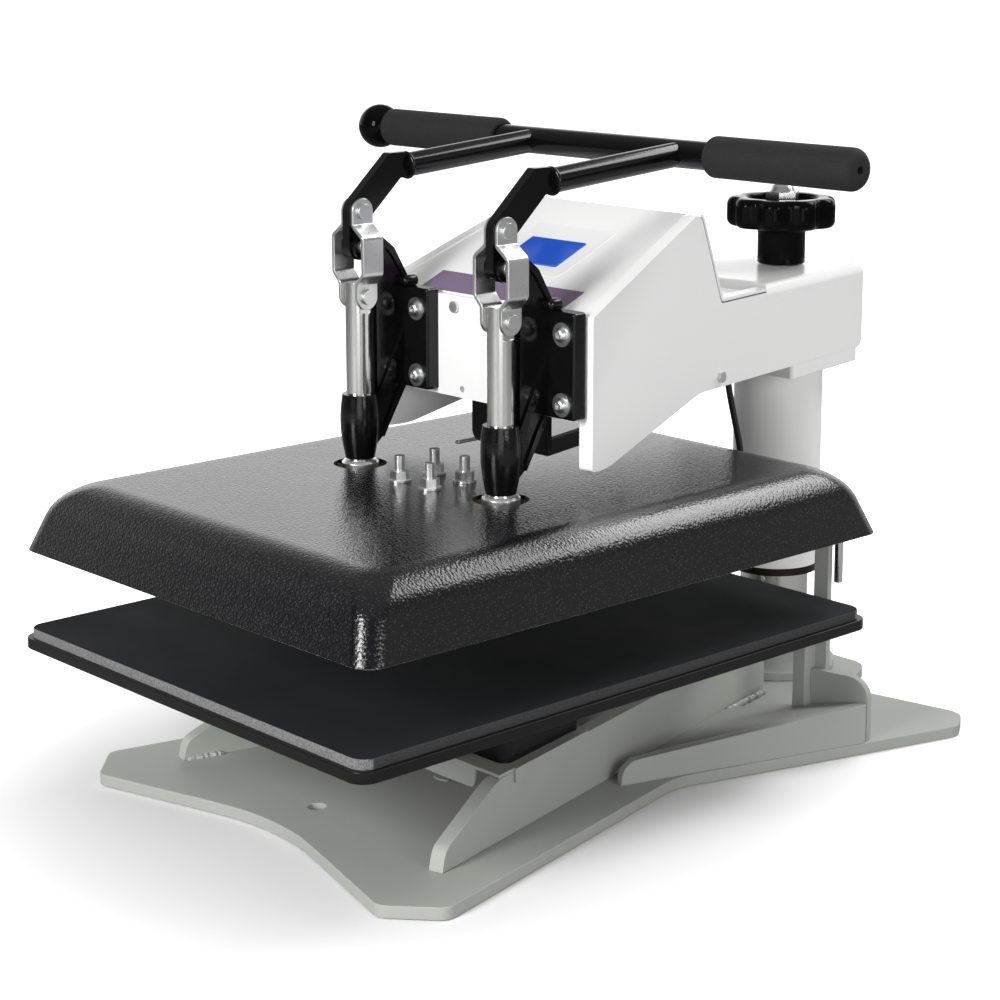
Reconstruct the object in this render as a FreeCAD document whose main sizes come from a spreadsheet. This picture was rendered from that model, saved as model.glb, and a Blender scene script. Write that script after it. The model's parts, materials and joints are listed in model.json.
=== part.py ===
import FreeCAD, Part
import math
import os
import re
import Sketcher

# Swing-away heat press. X is the right-hand side, Y points to the post at the
# back, Z is up. The origin lies on the underside of the base plate, below the
# middle of the soft pad. All lengths are in millimetres.

doc = FreeCAD.newDocument("heat_press")
sheet = doc.addObject("Spreadsheet::Sheet", "dims")

SIZES = [
    # base plate
    ("base_thick", 9.5), ("base_apex_y", -168.7), ("base_foot_x", 170), ("base_foot_y", -216),
    ("base_heel_x", 206.3), ("base_heel_y", -183), ("base_waist_x", 141), ("base_waist_y", 107),
    ("base_leg_x", 218.3), ("base_leg_y", 365), ("base_toe_x", 200), ("base_toe_y", 394),
    ("base_inner_x", 92), ("base_inner_y", 373.8), ("base_lobe_x", 60), ("base_lobe_y", 440),
    ("base_apex_round", 215), ("base_foot_round", 12), ("base_waist_round", 70),
    ("base_leg_round", 18), ("base_lobe_round", 22), ("base_hole_y", -134.3), ("base_hole_d", 14),
    # ribs
    ("rib_front_x", 160), ("rib_front_y", -149), ("rib_splay", 13.5), ("rib_thick", 12),
    ("rib_length", 478), ("rib_top", 57), ("rib_toe", 4), ("rib_toe_z", 25), ("rib_slope", 66),
    ("rib_toe_round", 14), ("rib_top_round", 55), ("rib_end_round", 24),
    # cross bracket and pedestal
    ("bracket_sheet", 2.5), ("bracket_front_y", -80), ("bracket_rear_y", 36),
    ("bracket_flange_x", 117), ("bracket_flange_z", 42), ("bracket_tab_z", 48.5),
    ("bracket_tab_front", -62), ("bracket_tab_rear", 33),
    ("pedestal_front_y", -64), ("pedestal_rear_y", 33), ("pedestal_front_x", 132),
    ("pedestal_rear_x", 110), ("pedestal_wall", 4), ("pedestal_top", 113.75),
    # table and pad
    ("pad_wide", 406.4), ("pad_long", 508), ("pad_thick", 7.55), ("pad_round", 12),
    ("table_edge", 4), ("table_thick", 8.35), ("table_bolt_d", 8), ("table_bolt_x", 84),
    ("table_bolt_front", -44), ("table_bolt_rear", 16), ("table_bolt_deep", 6),
    # gusset trays
    ("gusset_front_x", 126), ("gusset_front_y", 62.5), ("gusset_splay", 17.1),
    ("gusset_past", 6.1197), ("gusset_thick", 7), ("gusset_low_z", 28), ("gusset_high_z", 42),
    ("gusset_end_round", 16), ("deck_front_y", 75), ("deck_past", 22), ("deck_thick", 3),
    ("rear_wall_x", 138), ("rear_wall_gap", 16), ("rear_wall_turn", 10.35),
    ("rear_wall_wide", 52.9), ("rear_wall_thick", 7), ("rear_wall_top", 61),
    ("rear_wall_round", 18),
    ("stop_wide", 13), ("stop_thick", 6.6), ("stop_top", 180), ("stop_inset", 3),
    ("brace_wide", 11), ("brace_front", 10), ("brace_top", 100),
    # post
    ("post_y", 382.4), ("post_d", 59.5), ("post_top", 262), ("socket_flange_d", 110),
    ("socket_flange_top", 16.5), ("socket_d", 80), ("socket_top", 42), ("running_fit", 0.05),
    ("sleeve_wall", 5.5), ("bush_wall", 3.25), ("sleeve_low", 106), ("bush_ring_low", 99.5),
    ("bush_low_long", 32), ("bush_high_z", 222), ("bush_high_long", 34),
    ("spindle_d", 18), ("spindle_low", 182), ("spindle_room", 10), ("collar_d", 30),
    ("collar_low", 268), ("collar_high", 274), ("bearing_d", 44),
    # height knob
    ("hub_d", 41), ("hub_low", 371), ("disc_low", 403), ("disc_top", 434), ("disc_d", 95),
    ("disc_edge", 5), ("lobe_count", 9), ("lobe_cut_d", 24), ("lobe_cut_at", 53.5),
    ("knob_recess_d", 48), ("knob_recess_z", 426), ("nut_wide", 26), ("nut_thick", 7),
    ("nut_dome", 8),
    # arm
    ("arm_front_x", 123), ("arm_front_y", 30), ("arm_splay", 10.76), ("arm_thick", 12),
    ("arm_rear_y", 440), ("arm_low_z", 260), ("arm_knee_y", 51.5), ("arm_under_y", 178.3),
    ("arm_under_z", 296.5), ("arm_under_round", 60), ("arm_front_z", 376),
    ("arm_peak_y", 175), ("arm_peak_z", 440), ("arm_peak_round", 10), ("arm_back_y", 208),
    ("arm_back_z", 364), ("arm_box_y", 277), ("arm_box_z", 357), ("saddle_low", 285),
    ("saddle_front_y", 321), ("saddle_rear_y", 432), ("box_top", 370), ("box_wall", 3),
    ("box_round", 9),
    ("front_face_y", 29), ("front_thick", 6), ("front_screw_x", -25.5), ("front_screw_z", 367.6),
    ("front_hole_x", -18.3), ("front_hole_z", 303.4), ("front_hole_d", 5),
    ("side_screw_y", 208), ("side_screw_z", 305), ("screw_d", 5), ("screw_head_d", 9),
    ("screw_head", 3), ("console_sheet", 3), ("console_drop", 0.8),
    ("display_wide", 60), ("display_long", 36), ("display_y", 99.5), ("display_thick", 1.6),
    ("board_wide", 120), ("board_long", 64), ("board_thick", 1.6), ("board_gap", 14),
    ("tongue_x", -13.5), ("tongue_end_x", 72), ("tongue_low", 264), ("tongue_top", 312),
    ("tongue_thick", 4), ("bar_top", 276), ("bar_rear_y", 150),
    ("bar_rear_x", 38),
    ("inlet_x", -14), ("inlet_z", 326), ("inlet_wide", 30), ("inlet_high", 23),
    ("inlet_deep", 22), ("inlet_hole_wide", 25), ("inlet_hole_high", 17), ("inlet_hole", 15),
    ("rocker_x", 20), ("rocker_z", 326), ("rocker_wide", 13), ("rocker_high", 21),
    ("rocker_gap", 0.6), ("rocker_pin_d", 3), ("rocker_proud", 1.5),
    # toggles
    ("toggle_x", 82), ("toggle_y", -22), ("rod_d", 20), ("rod_top", 386), ("rod_flat", 8.5),
    ("rod_flat_low", 362), ("pivot_z", 414.3), ("crank", 27), ("link_long", 66.1),
    ("nose_low", 247), ("nose_low_d", 23), ("nose_mid", 273), ("nose_mid_d", 33),
    ("nose_top", 298), ("nose_top_d", 27), ("nose_soft", 110), ("flange_wide", 72),
    ("flange_thick", 11.4), ("flange_low", 300), ("flange_top", 380), ("flange_round", 2.5),
    ("flange_soft", 1.8), ("toggle_bolt_x", 24), ("toggle_bolt_low", 311),
    ("toggle_bolt_high", 363.5), ("toggle_bolt_d", 6),
    ("hex_wide", 13), ("hex_thick", 5.5), ("button_d", 11.5), ("button_high", 4.2),
    ("socket_wide", 4.5), ("socket_deep", 2.4), ("washer_d", 18), ("washer_thick", 1.8),
    ("ear_round", 9), ("ear_half", 8.5), ("slot_half", 4.3), ("web_half", 6.5),
    ("web_inner", 13), ("web_high_y", 30), ("web_high_z", 411), ("web_end_y", 46),
    ("web_end_z", 383.5), ("web_low_y", 31), ("web_low_z", 284), ("web_foot_z", 256),
    ("rim_thick", 5),
    ("pivot_pin_d", 10), ("pivot_pin_half", 11.5), ("rivet_d", 8), ("rivet_head_d", 12),
    ("rivet_head", 2.7), ("strip_thick", 3), ("strip_wide", 20), ("strip_top_in", 4.3),
    ("strip_mid_in", 16.4), ("strip_low_in", 8.8), ("strip_step_top", 11.2), ("strip_run_top", 9.1),
    ("strip_step_low", 10.9), ("strip_run_low", 8), ("strip_bend", 2.5),
    # handle
    ("lever_thick", 8), ("lever_wide", 22), ("lever_knee_z", 436.5), ("lever_top_z", 446.1),
    ("lever_under_y", 41), ("lever_under_z", 464), ("lever_end_y", 50), ("lever_over_y", 30.3),
    ("lever_over_z", 484), ("tube_d", 19), ("tube_z", 473.2), ("cross_d", 22),
    ("cross_y", 165), ("cross_z", 484.5), ("cross_right", 255), ("cross_left", 262),
    ("stud_d", 10), ("stud_long", 24), ("ball_d", 38), ("ball_x", 279.5),
    ("grip_d", 32), ("grip_right_in", 117), ("grip_right_out", 259), ("grip_left_in", 120),
    ("grip_hole_d", 4),
    # platen
    ("platen_wide", 400), ("platen_long", 508), ("platen_y", 7), ("platen_low", 189),
    ("platen_thick", 12), ("platen_round", 12), ("cover_wide", 418), ("cover_long", 522),
    ("cover_low", 190.5), ("cover_top", 242), ("cover_flare", 20), ("cover_wall", 3),
    ("cover_corner", 15), ("cover_round", 36), ("cover_hole_d", 42), ("foot_d", 29),
    ("foot_top", 245.5), ("cover_stud_d", 8), ("cover_stud_top", 262), ("cover_stud_x", 3.5),
    ("cover_stud_y", -21), ("cover_stud_gap", 35), ("element_thick", 6), ("element_wide", 300),
    ("element_long", 400), ("element_slot", 40), ("blanket_wide", 310), ("blanket_long", 410),
    ("blanket_hole_d", 48), ("blanket_stud_d", 12),
    ("stop_rod_x", 153.5), ("stop_rod_back", 13), ("stop_rod_d", 7), ("stop_rod_low", 135),
    ("stop_lug_wide", 12), ("stop_lug_low", 194), ("stop_lug_top", 214),
    ("gland_d", 11), ("gland_y", 273), ("gland_z", 200.5), ("gland_tilt", 12.3),
    ("gland_long", 11), ("lead_x", 40), ("lead_d", 5.5), ("lead_gap", 0.1),
]

row = 0
for alias, value in SIZES:
    row = row + 1
    sheet.set("A%d" % row, alias)
    sheet.set("B%d" % row, str(value))
    sheet.setAlias("B%d" % row, alias)
doc.recompute()
ALIASES = set(alias for alias, value in SIZES)
NODES = []


def bound(text):
    """The text with each named size read from the sheet."""
    def swap(found):
        word = found.group(0)
        return "dims." + word if word in ALIASES else word
    return re.sub(r"[a-z_]+", swap, str(text))


def size(alias):
    """A size as a plain number."""
    return float(sheet.get(alias))


def node(label, made):
    """Name one finished piece of the press."""
    made.Label = label
    NODES.append(made)
    return made


def put(made, x="0", y="0", z="0", turn=None, axis=(0, 0, 1)):
    """Place an object, turned about one axis by an angle in degrees."""
    if turn is not None:
        made.Placement.Rotation = FreeCAD.Rotation(FreeCAD.Vector(*axis), 10)
        made.setExpression("Placement.Rotation.Angle", bound("(%s) * 1 deg" % turn))
    made.setExpression("Placement.Base.x", bound(x))
    made.setExpression("Placement.Base.y", bound(y))
    made.setExpression("Placement.Base.z", bound(z))
    return made


def plane_of(body, role):
    """The origin plane of a body that has this role."""
    return [item for item in body.Origin.OriginFeatures if item.Role == role][0]


def fix_point(sketch, index, place, point, start):
    """Hold one point of a sketch at two bound distances from its origin."""
    for kind, text, first in (("DistanceX", point[0], start[0]), ("DistanceY", point[1], start[1])):
        held = sketch.addConstraint(Sketcher.Constraint(kind, -1, 1, index, place, first))
        sketch.setExpression("Constraints[%d]" % held, bound(text))


def outline(body, name, role, points, base="0", holes=()):
    """A closed outline, with round holes, on one of a body's origin planes."""
    sketch = body.newObject("Sketcher::SketchObject", name)
    sketch.AttachmentSupport = [(plane_of(body, role), "")]
    sketch.MapMode = "FlatFace"
    flip = "-1 * " if role == "XZ_Plane" else ""
    sketch.setExpression("AttachmentOffset.Base.z", bound(flip + "(%s)" % base))
    count = len(points)
    ring = [FreeCAD.Rotation(FreeCAD.Vector(0, 0, 1), 360.0 * k / count).multVec(
        FreeCAD.Vector(50, 0, 0)) for k in range(count)]
    for k in range(count):
        sketch.addGeometry(Part.LineSegment(ring[k], ring[(k + 1) % count]))
    for k in range(count):
        sketch.addConstraint(Sketcher.Constraint("Coincident", k, 2, (k + 1) % count, 1))
    for k in range(count):
        fix_point(sketch, k, 1, points[k], (ring[k].x, ring[k].y))
    for x, y, wide in holes:
        made = sketch.addGeometry(Part.Circle(FreeCAD.Vector(1, 1, 0), FreeCAD.Vector(0, 0, 1), 2))
        fix_point(sketch, made, 3, (x, y), (1, 1))
        held = sketch.addConstraint(Sketcher.Constraint("Diameter", made, 4))
        sketch.setExpression("Constraints[%d]" % held, bound(wide))
    return sketch


def corner_edges(shape, sketch, corners):
    """Names of the edges that stand on some corners of an outline."""
    normal = sketch.Placement.Rotation.multVec(FreeCAD.Vector(0, 0, 1))
    spots = [sketch.Placement.multVec(sketch.Geometry[k].StartPoint) for k in corners]
    names = []
    for number, edge in enumerate(shape.Edges):
        ends = [vertex.Point for vertex in edge.Vertexes]
        if len(ends) != 2 or (ends[1] - ends[0]).cross(normal).Length > 0.001:
            continue
        if any((ends[0] - spot).cross(normal).Length < 0.01 for spot in spots):
            names.append("Edge%d" % (number + 1))
    return names


def straight_edges(shape, y):
    """Names of the straight edges that lie in one plane across Y."""
    return ["Edge%d" % (number + 1) for number, edge in enumerate(shape.Edges)
            if edge.Curve.TypeId == "Part::GeomLine" and edge.Length > 1
            and all(abs(vertex.Point.y - y) < 0.01 for vertex in edge.Vertexes)]


def ring_edges(shape, z):
    """Names of the round edges that lie at one height."""
    return ["Edge%d" % (number + 1) for number, edge in enumerate(shape.Edges)
            if edge.Curve.TypeId == "Part::GeomCircle"
            and abs(edge.Curve.Center.z - z) < 0.01]


def round_off(body, last, names, radius):
    """Round some edges of a body's last feature."""
    soft = body.newObject("PartDesign::Fillet", body.Name + "_round")
    soft.Base = (last, names)
    soft.setExpression("Radius", bound(radius))
    doc.recompute()
    return soft


def prism(name, role, points, depth, base="0", rounds=(), holes=(), middle=False):
    """A body made by padding one outline. It grows towards the positive axis."""
    body = doc.addObject("PartDesign::Body", name)
    sketch = outline(body, name + "_outline", role, points, base, holes)
    pad = body.newObject("PartDesign::Pad", name + "_pad")
    pad.Profile = sketch
    pad.setExpression("Length", bound(depth))
    if middle:
        pad.SideType = "Symmetric"
    if role == "XZ_Plane":
        pad.Reversed = True
    doc.recompute()
    last = pad
    for corners, radius in rounds:
        last = round_off(body, last, corner_edges(last.Shape, sketch, corners), radius)
    return body


def add_pad(body, name, role, points, depth, base="0", rounds=(), middle=False):
    """Another padded outline on a body that has one."""
    sketch = outline(body, name + "_outline", role, points, base)
    pad = body.newObject("PartDesign::Pad", name + "_pad")
    pad.Profile = sketch
    pad.setExpression("Length", bound(depth))
    if middle:
        pad.SideType = "Symmetric"
    if role == "XZ_Plane":
        pad.Reversed = True
    doc.recompute()
    last = pad
    for corners, radius in rounds:
        last = round_off(body, last, corner_edges(last.Shape, sketch, corners), radius)
    return body


def turned(name, points, body=None):
    """A body of revolution about its own Z axis, from radius and height pairs."""
    if body is None:
        body = doc.addObject("PartDesign::Body", name)
    sketch = outline(body, name + "_profile", "XZ_Plane", points)
    spun = body.newObject("PartDesign::Revolution", name + "_turn")
    spun.Profile = sketch
    spun.ReferenceAxis = (sketch, ["V_Axis"])
    spun.Angle = 360
    doc.recompute()
    return body


def rod(name, wide, length, x="0", y="0", z="0", along="Z"):
    """A cylinder that starts at a point and runs along a positive axis."""
    made = doc.addObject("Part::Cylinder", name)
    made.setExpression("Radius", bound("(%s) / 2" % wide))
    made.setExpression("Height", bound(length))
    if along == "X":
        made.Placement.Rotation = FreeCAD.Rotation(FreeCAD.Vector(0, 1, 0), 90)
    if along == "Y":
        made.Placement.Rotation = FreeCAD.Rotation(FreeCAD.Vector(1, 0, 0), -90)
    return put(made, x, y, z)


def block(name, wide, deep, high, x, y, z):
    """A box from its lowest corner."""
    made = doc.addObject("Part::Box", name)
    made.setExpression("Length", bound(wide))
    made.setExpression("Width", bound(deep))
    made.setExpression("Height", bound(high))
    return put(made, x, y, z)


def hexagon(name, across, thick, x="0", y="0", z="0", along="Z"):
    """A hexagonal prism, from its width across the flats."""
    made = doc.addObject("Part::Prism", name)
    made.Polygon = 6
    made.setExpression("Circumradius", bound("(%s) / 1.7320508" % across))
    made.setExpression("Height", bound(thick))
    if along == "X":
        made.Placement.Rotation = FreeCAD.Rotation(FreeCAD.Vector(0, 1, 0), 90)
    if along == "Y":
        made.Placement.Rotation = FreeCAD.Rotation(FreeCAD.Vector(1, 0, 0), -90)
    return put(made, x, y, z)


def joined(name, pieces):
    """Pieces fused into one."""
    made = doc.addObject("Part::MultiFuse", name)
    made.Shapes = pieces
    return made


def less(name, base, tools):
    """A piece with other shapes cut away."""
    made = doc.addObject("Part::Cut", name)
    made.Base = base
    made.Tool = tools[0] if len(tools) == 1 else joined(name + "_tools", tools)
    return made


def both(name, first, second):
    """What two shapes share."""
    made = doc.addObject("Part::Common", name)
    made.Base = first
    made.Tool = second
    return made


def set_of(name, pieces):
    """Like pieces kept together in one node."""
    made = doc.addObject("Part::Compound", name)
    made.Links = pieces
    return made


def mirrored(points):
    """An outline's right half and its mirror image."""
    left = [("-1 * (%s)" % x, y) for x, y in reversed(points) if x != "0"]
    return list(points) + left


SIDES = (("left", -1), ("right", 1))

# Base plate: notched front, drawn-in waist, two rear legs and a lobe under the post.
half = [("0", "base_apex_y"), ("base_foot_x", "base_foot_y"), ("base_heel_x", "base_heel_y"),
        ("base_waist_x", "base_waist_y"), ("base_leg_x", "base_leg_y"),
        ("base_toe_x", "base_toe_y"), ("base_inner_x", "base_inner_y"),
        ("base_lobe_x", "base_lobe_y")]
base = prism("base_solid", "XY_Plane", mirrored(half), "base_thick",
             holes=[("0", "base_hole_y", "base_hole_d")],
             rounds=[((0,), "base_apex_round"), ((1, 2, 13, 14), "base_foot_round"),
                     ((3, 12), "base_waist_round"), ((4, 5, 10, 11), "base_leg_round"),
                     ((6, 7, 8, 9), "base_lobe_round")])
node("base_plate", base)

# Splayed ribs, each drawn in its own upright plane.
rib_points = [("0", "base_thick"), ("rib_toe", "rib_toe_z"), ("rib_toe + rib_slope", "rib_top"),
              ("rib_length", "rib_top"), ("rib_length", "base_thick")]
for word, side in SIDES:
    rib = prism("rib_" + word + "_solid", "YZ_Plane", rib_points, "rib_thick",
                base="-1 * rib_thick" if side > 0 else "0",
                rounds=[((1,), "rib_toe_round"), ((2,), "rib_top_round"), ((3,), "rib_end_round")])
    put(rib, "%d * rib_front_x" % side, "rib_front_y", turn="%d * rib_splay" % side)
    node("rib_" + word, rib)

RIB_X = "(rib_front_x - tan(rib_splay) * ((%s) - rib_front_y))"

# Cross bracket: a folded sheet over both ribs, with a front flange and end tabs.
bracket = prism("bracket_solid", "XY_Plane", mirrored([
    (RIB_X % "bracket_front_y", "bracket_front_y"),
    (RIB_X % "bracket_rear_y", "bracket_rear_y")]), "bracket_sheet", base="rib_top")
add_pad(bracket, "bracket_flange", "XZ_Plane", mirrored([
    ("bracket_flange_x", "bracket_flange_z"), ("bracket_flange_x", "rib_top")]),
    "bracket_sheet", base="bracket_front_y", rounds=[((0, 3), "6")])
for word, side in SIDES:
    tab = [("%d * %s" % (side, RIB_X % "bracket_tab_front"), "bracket_tab_front"),
           ("%d * (%s + bracket_sheet)" % (side, RIB_X % "bracket_tab_front"), "bracket_tab_front"),
           ("%d * (%s + bracket_sheet)" % (side, RIB_X % "bracket_tab_rear"), "bracket_tab_rear"),
           ("%d * %s" % (side, RIB_X % "bracket_tab_rear"), "bracket_tab_rear")]
    add_pad(bracket, "bracket_tab_" + word, "XY_Plane", tab,
            "rib_top + bracket_sheet - bracket_tab_z", base="bracket_tab_z")
node("cross_bracket", bracket)

# Pedestal: a box open below, with a closed top that the table is bolted to.
low = "rib_top + bracket_sheet"
bolt_spots = [("%d * table_bolt_x" % side, y) for word, side in SIDES
              for y in ("table_bolt_front", "table_bolt_rear")]
outer = prism("pedestal_outer", "XY_Plane", mirrored([
    ("pedestal_front_x", "pedestal_front_y"), ("pedestal_rear_x", "pedestal_rear_y")]),
    "pedestal_top - (%s)" % low, base=low, holes=[(x, y, "table_bolt_d") for x, y in bolt_spots],
    rounds=[((0, 1, 2, 3), "8")])
inner = prism("pedestal_inner", "XY_Plane", mirrored([
    ("pedestal_front_x - pedestal_wall", "pedestal_front_y + pedestal_wall"),
    ("pedestal_rear_x - pedestal_wall", "pedestal_rear_y - pedestal_wall")]),
    "pedestal_top - (%s) - pedestal_wall" % low, base=low)
node("table_pedestal", less("pedestal", outer, [inner]))


def rectangle(name, wide, long, low, thick, radius, middle_y="0", holes=()):
    """A flat rectangle with round corners."""
    x = "(%s) / 2" % wide
    points = mirrored([(x, "%s - (%s) / 2" % (middle_y, long)),
                       (x, "%s + (%s) / 2" % (middle_y, long))])
    return prism(name, "XY_Plane", points, thick, base=low, holes=holes,
                 rounds=[((0, 1, 2, 3), radius)])


# Table plate and the soft pad on it. The table bolts come from inside the pedestal.
plate = rectangle("table_solid", "pad_wide + 2 * table_edge", "pad_long + 2 * table_edge",
                  "pedestal_top", "table_thick", "pad_round + table_edge / 2")
bolts = []
bolt_holes = []
for k, (x, y) in enumerate(bolt_spots):
    top = "pedestal_top - pedestal_wall"
    shank = rod("table_shank_%d" % k, "table_bolt_d", "pedestal_wall + table_bolt_deep", x, y, top)
    head = hexagon("table_head_%d" % k, "hex_wide", "hex_thick", x, y, top + " - hex_thick")
    bolts.append(joined("table_bolt_%d" % k, [shank, head]))
    bolt_holes.append(rod("table_hole_%d" % k, "table_bolt_d", "table_bolt_deep",
                          x, y, "pedestal_top"))
node("table_plate", less("table", plate, bolt_holes))
node("table_bolts", set_of("table_bolt_set", bolts))
node("table_pad", rectangle("pad_solid", "pad_wide", "pad_long", "pedestal_top + table_thick",
                            "pad_thick", "pad_round"))

# Gusset trays: an outer wall, a rear wall and a deck that slopes up from the rib.
# The rear walls and the stop post stand clear of the table's back edge.
REAR_WALL_Y = "(pad_long / 2 + rear_wall_gap)"
GUSSET_LONG = "((%s - gusset_front_y + gusset_past) / cos(gusset_splay))" % REAR_WALL_Y
GUSSET_X = ("(gusset_front_x + tan(gusset_splay) * ((%s) - gusset_front_y)"
            " - gusset_thick / cos(gusset_splay))")
GUSSET_Z = ("(gusset_low_z + (gusset_high_z - gusset_low_z) * ((%s) - gusset_front_y)"
            " / (cos(gusset_splay) * " + GUSSET_LONG + "))")
wall_points = [("0", "base_thick"), (GUSSET_LONG, "base_thick"),
               (GUSSET_LONG, "gusset_high_z"), ("0", "gusset_low_z")]
back_points = [("0", "base_thick"), ("rear_wall_wide", "base_thick"),
               ("rear_wall_wide", "rear_wall_top"), ("0", "rear_wall_top")]
decks = {}
for word, side in SIDES:
    wall = prism("gusset_" + word + "_solid", "YZ_Plane", wall_points, "gusset_thick",
                 base="-1 * gusset_thick" if side > 0 else "0", rounds=[((3,), "gusset_end_round")])
    put(wall, "%d * gusset_front_x" % side, "gusset_front_y", turn="%d * gusset_splay" % -side)
    node("gusset_wall_" + word, wall)
    back = prism("rear_wall_" + word + "_solid", "XZ_Plane",
                 [("%d * (%s)" % (side, x), z) for x, z in back_points], "rear_wall_thick",
                 rounds=[((2,), "rear_wall_round")])
    put(back, "%d * rear_wall_x" % side, REAR_WALL_Y, turn="%d * rear_wall_turn" % side)
    node("rear_wall_" + word, back)
    deck = doc.addObject("PartDesign::Body", "deck_" + word + "_solid")
    sections = []
    for where, y in (("front", "deck_front_y"), ("rear", REAR_WALL_Y + " + deck_past")):
        inner_x = RIB_X % y
        outer_x = GUSSET_X % y
        high = GUSSET_Z % y
        section = [(inner_x, "base_thick"), (outer_x, high + " - deck_thick"), (outer_x, high),
                   (inner_x, "base_thick + deck_thick")]
        sections.append(outline(deck, "deck_%s_%s" % (word, where), "XZ_Plane",
                                [("%d * (%s)" % (side, x), z) for x, z in section], y))
    loft = deck.newObject("PartDesign::AdditiveLoft", "deck_" + word + "_loft")
    loft.Profile = sections[0]
    loft.Sections = [sections[1]]
    loft.Ruled = True
    doc.recompute()
    decks[word] = deck

# Stop post on the right rear wall, with its brace in front of it.
post_points = [("-1 * stop_inset", "base_thick"), ("stop_wide - stop_inset", "base_thick"),
               ("stop_wide - stop_inset", "stop_top"), ("-1 * stop_inset", "stop_top")]
stop = prism("stop_solid", "XZ_Plane", post_points, "stop_thick", base="rear_wall_thick",
             rounds=[((2, 3), "2.5")])
put(stop, "rear_wall_x", REAR_WALL_Y, turn="rear_wall_turn")
node("stop_post", stop)
brace_points = [("-1 * brace_wide", "base_thick"), ("0", "base_thick"), ("0", "brace_top"),
                ("-1 * brace_wide", "brace_top")]
brace = prism("brace_solid", "XZ_Plane", brace_points, "brace_front + rear_wall_thick",
              base="-1 * brace_front", rounds=[((3,), "4")])
put(brace, "rear_wall_x", REAR_WALL_Y, turn="rear_wall_turn")
node("stop_post_brace", brace)
for word, side in SIDES:
    trim_body = prism("deck_trim_%s_solid" % word, "XZ_Plane",
                      [("-150", "0"), ("150", "0"), ("150", "80"), ("-150", "80")], "60")
    put(trim_body, "%d * rear_wall_x" % side, REAR_WALL_Y, turn="%d * rear_wall_turn" % side)
    tools = [trim_body] + ([brace] if side > 0 else [])
    node("deck_" + word, less("deck_%s_cut" % word, decks[word], tools))

# Post: socket on the base, ground shaft, and the bushed sleeve that swings on it.
SLEEVE_IN = "(post_d / 2 + bush_wall)"
SLEEVE_OUT = "(post_d / 2 + bush_wall + sleeve_wall)"
socket = turned("socket_solid", [
    ("post_d / 2", "base_thick"), ("socket_flange_d / 2", "base_thick"),
    ("socket_flange_d / 2", "socket_flange_top"), ("socket_d / 2 + 3", "socket_flange_top"),
    ("socket_d / 2", "socket_flange_top + 4"), ("socket_d / 2", "socket_top - 3"),
    ("socket_d / 2 - 3", "socket_top"), ("post_d / 2", "socket_top")])
node("post_socket", put(socket, y="post_y"))
bore = "spindle_d / 2 + running_fit"
shaft = turned("shaft_solid", [
    ("0", "base_thick"), ("post_d / 2", "base_thick"), ("post_d / 2", "post_top - 2"),
    ("post_d / 2 - 2", "post_top"), (bore, "post_top"), (bore, "spindle_low - spindle_room"),
    ("0", "spindle_low - spindle_room")])
node("post_shaft", put(shaft, y="post_y"))
bearing = turned("bearing_solid", [
    (bore, "collar_high"), ("bearing_d / 2", "collar_high"),
    ("bearing_d / 2", "collar_high + 4"), ("bearing_d / 2 - 1.5", "collar_high + 4.6"),
    ("bearing_d / 2 - 1.5", "saddle_low - 4.6"), ("bearing_d / 2", "saddle_low - 4"),
    ("bearing_d / 2", "saddle_low"), (bore, "saddle_low")])
node("thrust_bearing", put(bearing, y="post_y"))
sleeve = turned("sleeve_solid", [
    (SLEEVE_IN, "sleeve_low"), (SLEEVE_OUT, "sleeve_low"),
    (SLEEVE_OUT, "saddle_low"), (SLEEVE_IN, "saddle_low")])
node("swing_sleeve", put(sleeve, y="post_y"))
slide = "post_d / 2 + running_fit"
low_bush = turned("low_bush", [
    (slide, "bush_ring_low"), (SLEEVE_OUT, "bush_ring_low"), (SLEEVE_OUT, "sleeve_low"),
    (SLEEVE_IN, "sleeve_low"), (SLEEVE_IN, "sleeve_low + bush_low_long"),
    (slide, "sleeve_low + bush_low_long")])
high_bush = turned("high_bush", [
    (slide, "bush_high_z"), (SLEEVE_IN, "bush_high_z"),
    (SLEEVE_IN, "bush_high_z + bush_high_long"), (slide, "bush_high_z + bush_high_long")])
node("sleeve_bushes", set_of("bush_set", [put(low_bush, y="post_y"), put(high_bush, y="post_y")]))

# Height knob: a turned hub and disc with scallops round the rim, its spindle and nut.
knob = turned("knob_solid", [
    ("spindle_d / 2", "hub_low"), ("hub_d / 2 - 1", "hub_low"), ("hub_d / 2", "hub_low + 1"),
    ("hub_d / 2", "disc_low - 5"), ("hub_d / 2 + 6", "disc_low"),
    ("disc_d / 2 - disc_edge", "disc_low"), ("disc_d / 2", "disc_low + disc_edge"),
    ("disc_d / 2", "disc_top - disc_edge"), ("disc_d / 2 - disc_edge", "disc_top"),
    ("knob_recess_d / 2", "disc_top"), ("knob_recess_d / 2 - 2", "knob_recess_z"),
    ("spindle_d / 2", "knob_recess_z")])
scallop = knob.newObject("Sketcher::SketchObject", "scallop_outline")
scallop.AttachmentSupport = [(plane_of(knob, "XY_Plane"), "")]
scallop.MapMode = "FlatFace"
scallop.setExpression("AttachmentOffset.Base.z", bound("disc_low - 1"))
cut_circle = scallop.addGeometry(
    Part.Circle(FreeCAD.Vector(50, 1, 0), FreeCAD.Vector(0, 0, 1), 10))
fix_point(scallop, cut_circle, 3, ("lobe_cut_at", "0"), (50, 0))
held = scallop.addConstraint(Sketcher.Constraint("Diameter", cut_circle, 20))
scallop.setExpression("Constraints[%d]" % held, bound("lobe_cut_d"))
groove = knob.newObject("PartDesign::Pocket", "scallop_cut")
groove.Profile = scallop
groove.Reversed = True
groove.setExpression("Length", bound("disc_top - disc_low + 2"))
doc.recompute()
ring = knob.newObject("PartDesign::PolarPattern", "scallop_ring")
ring.Originals = [groove]
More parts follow.
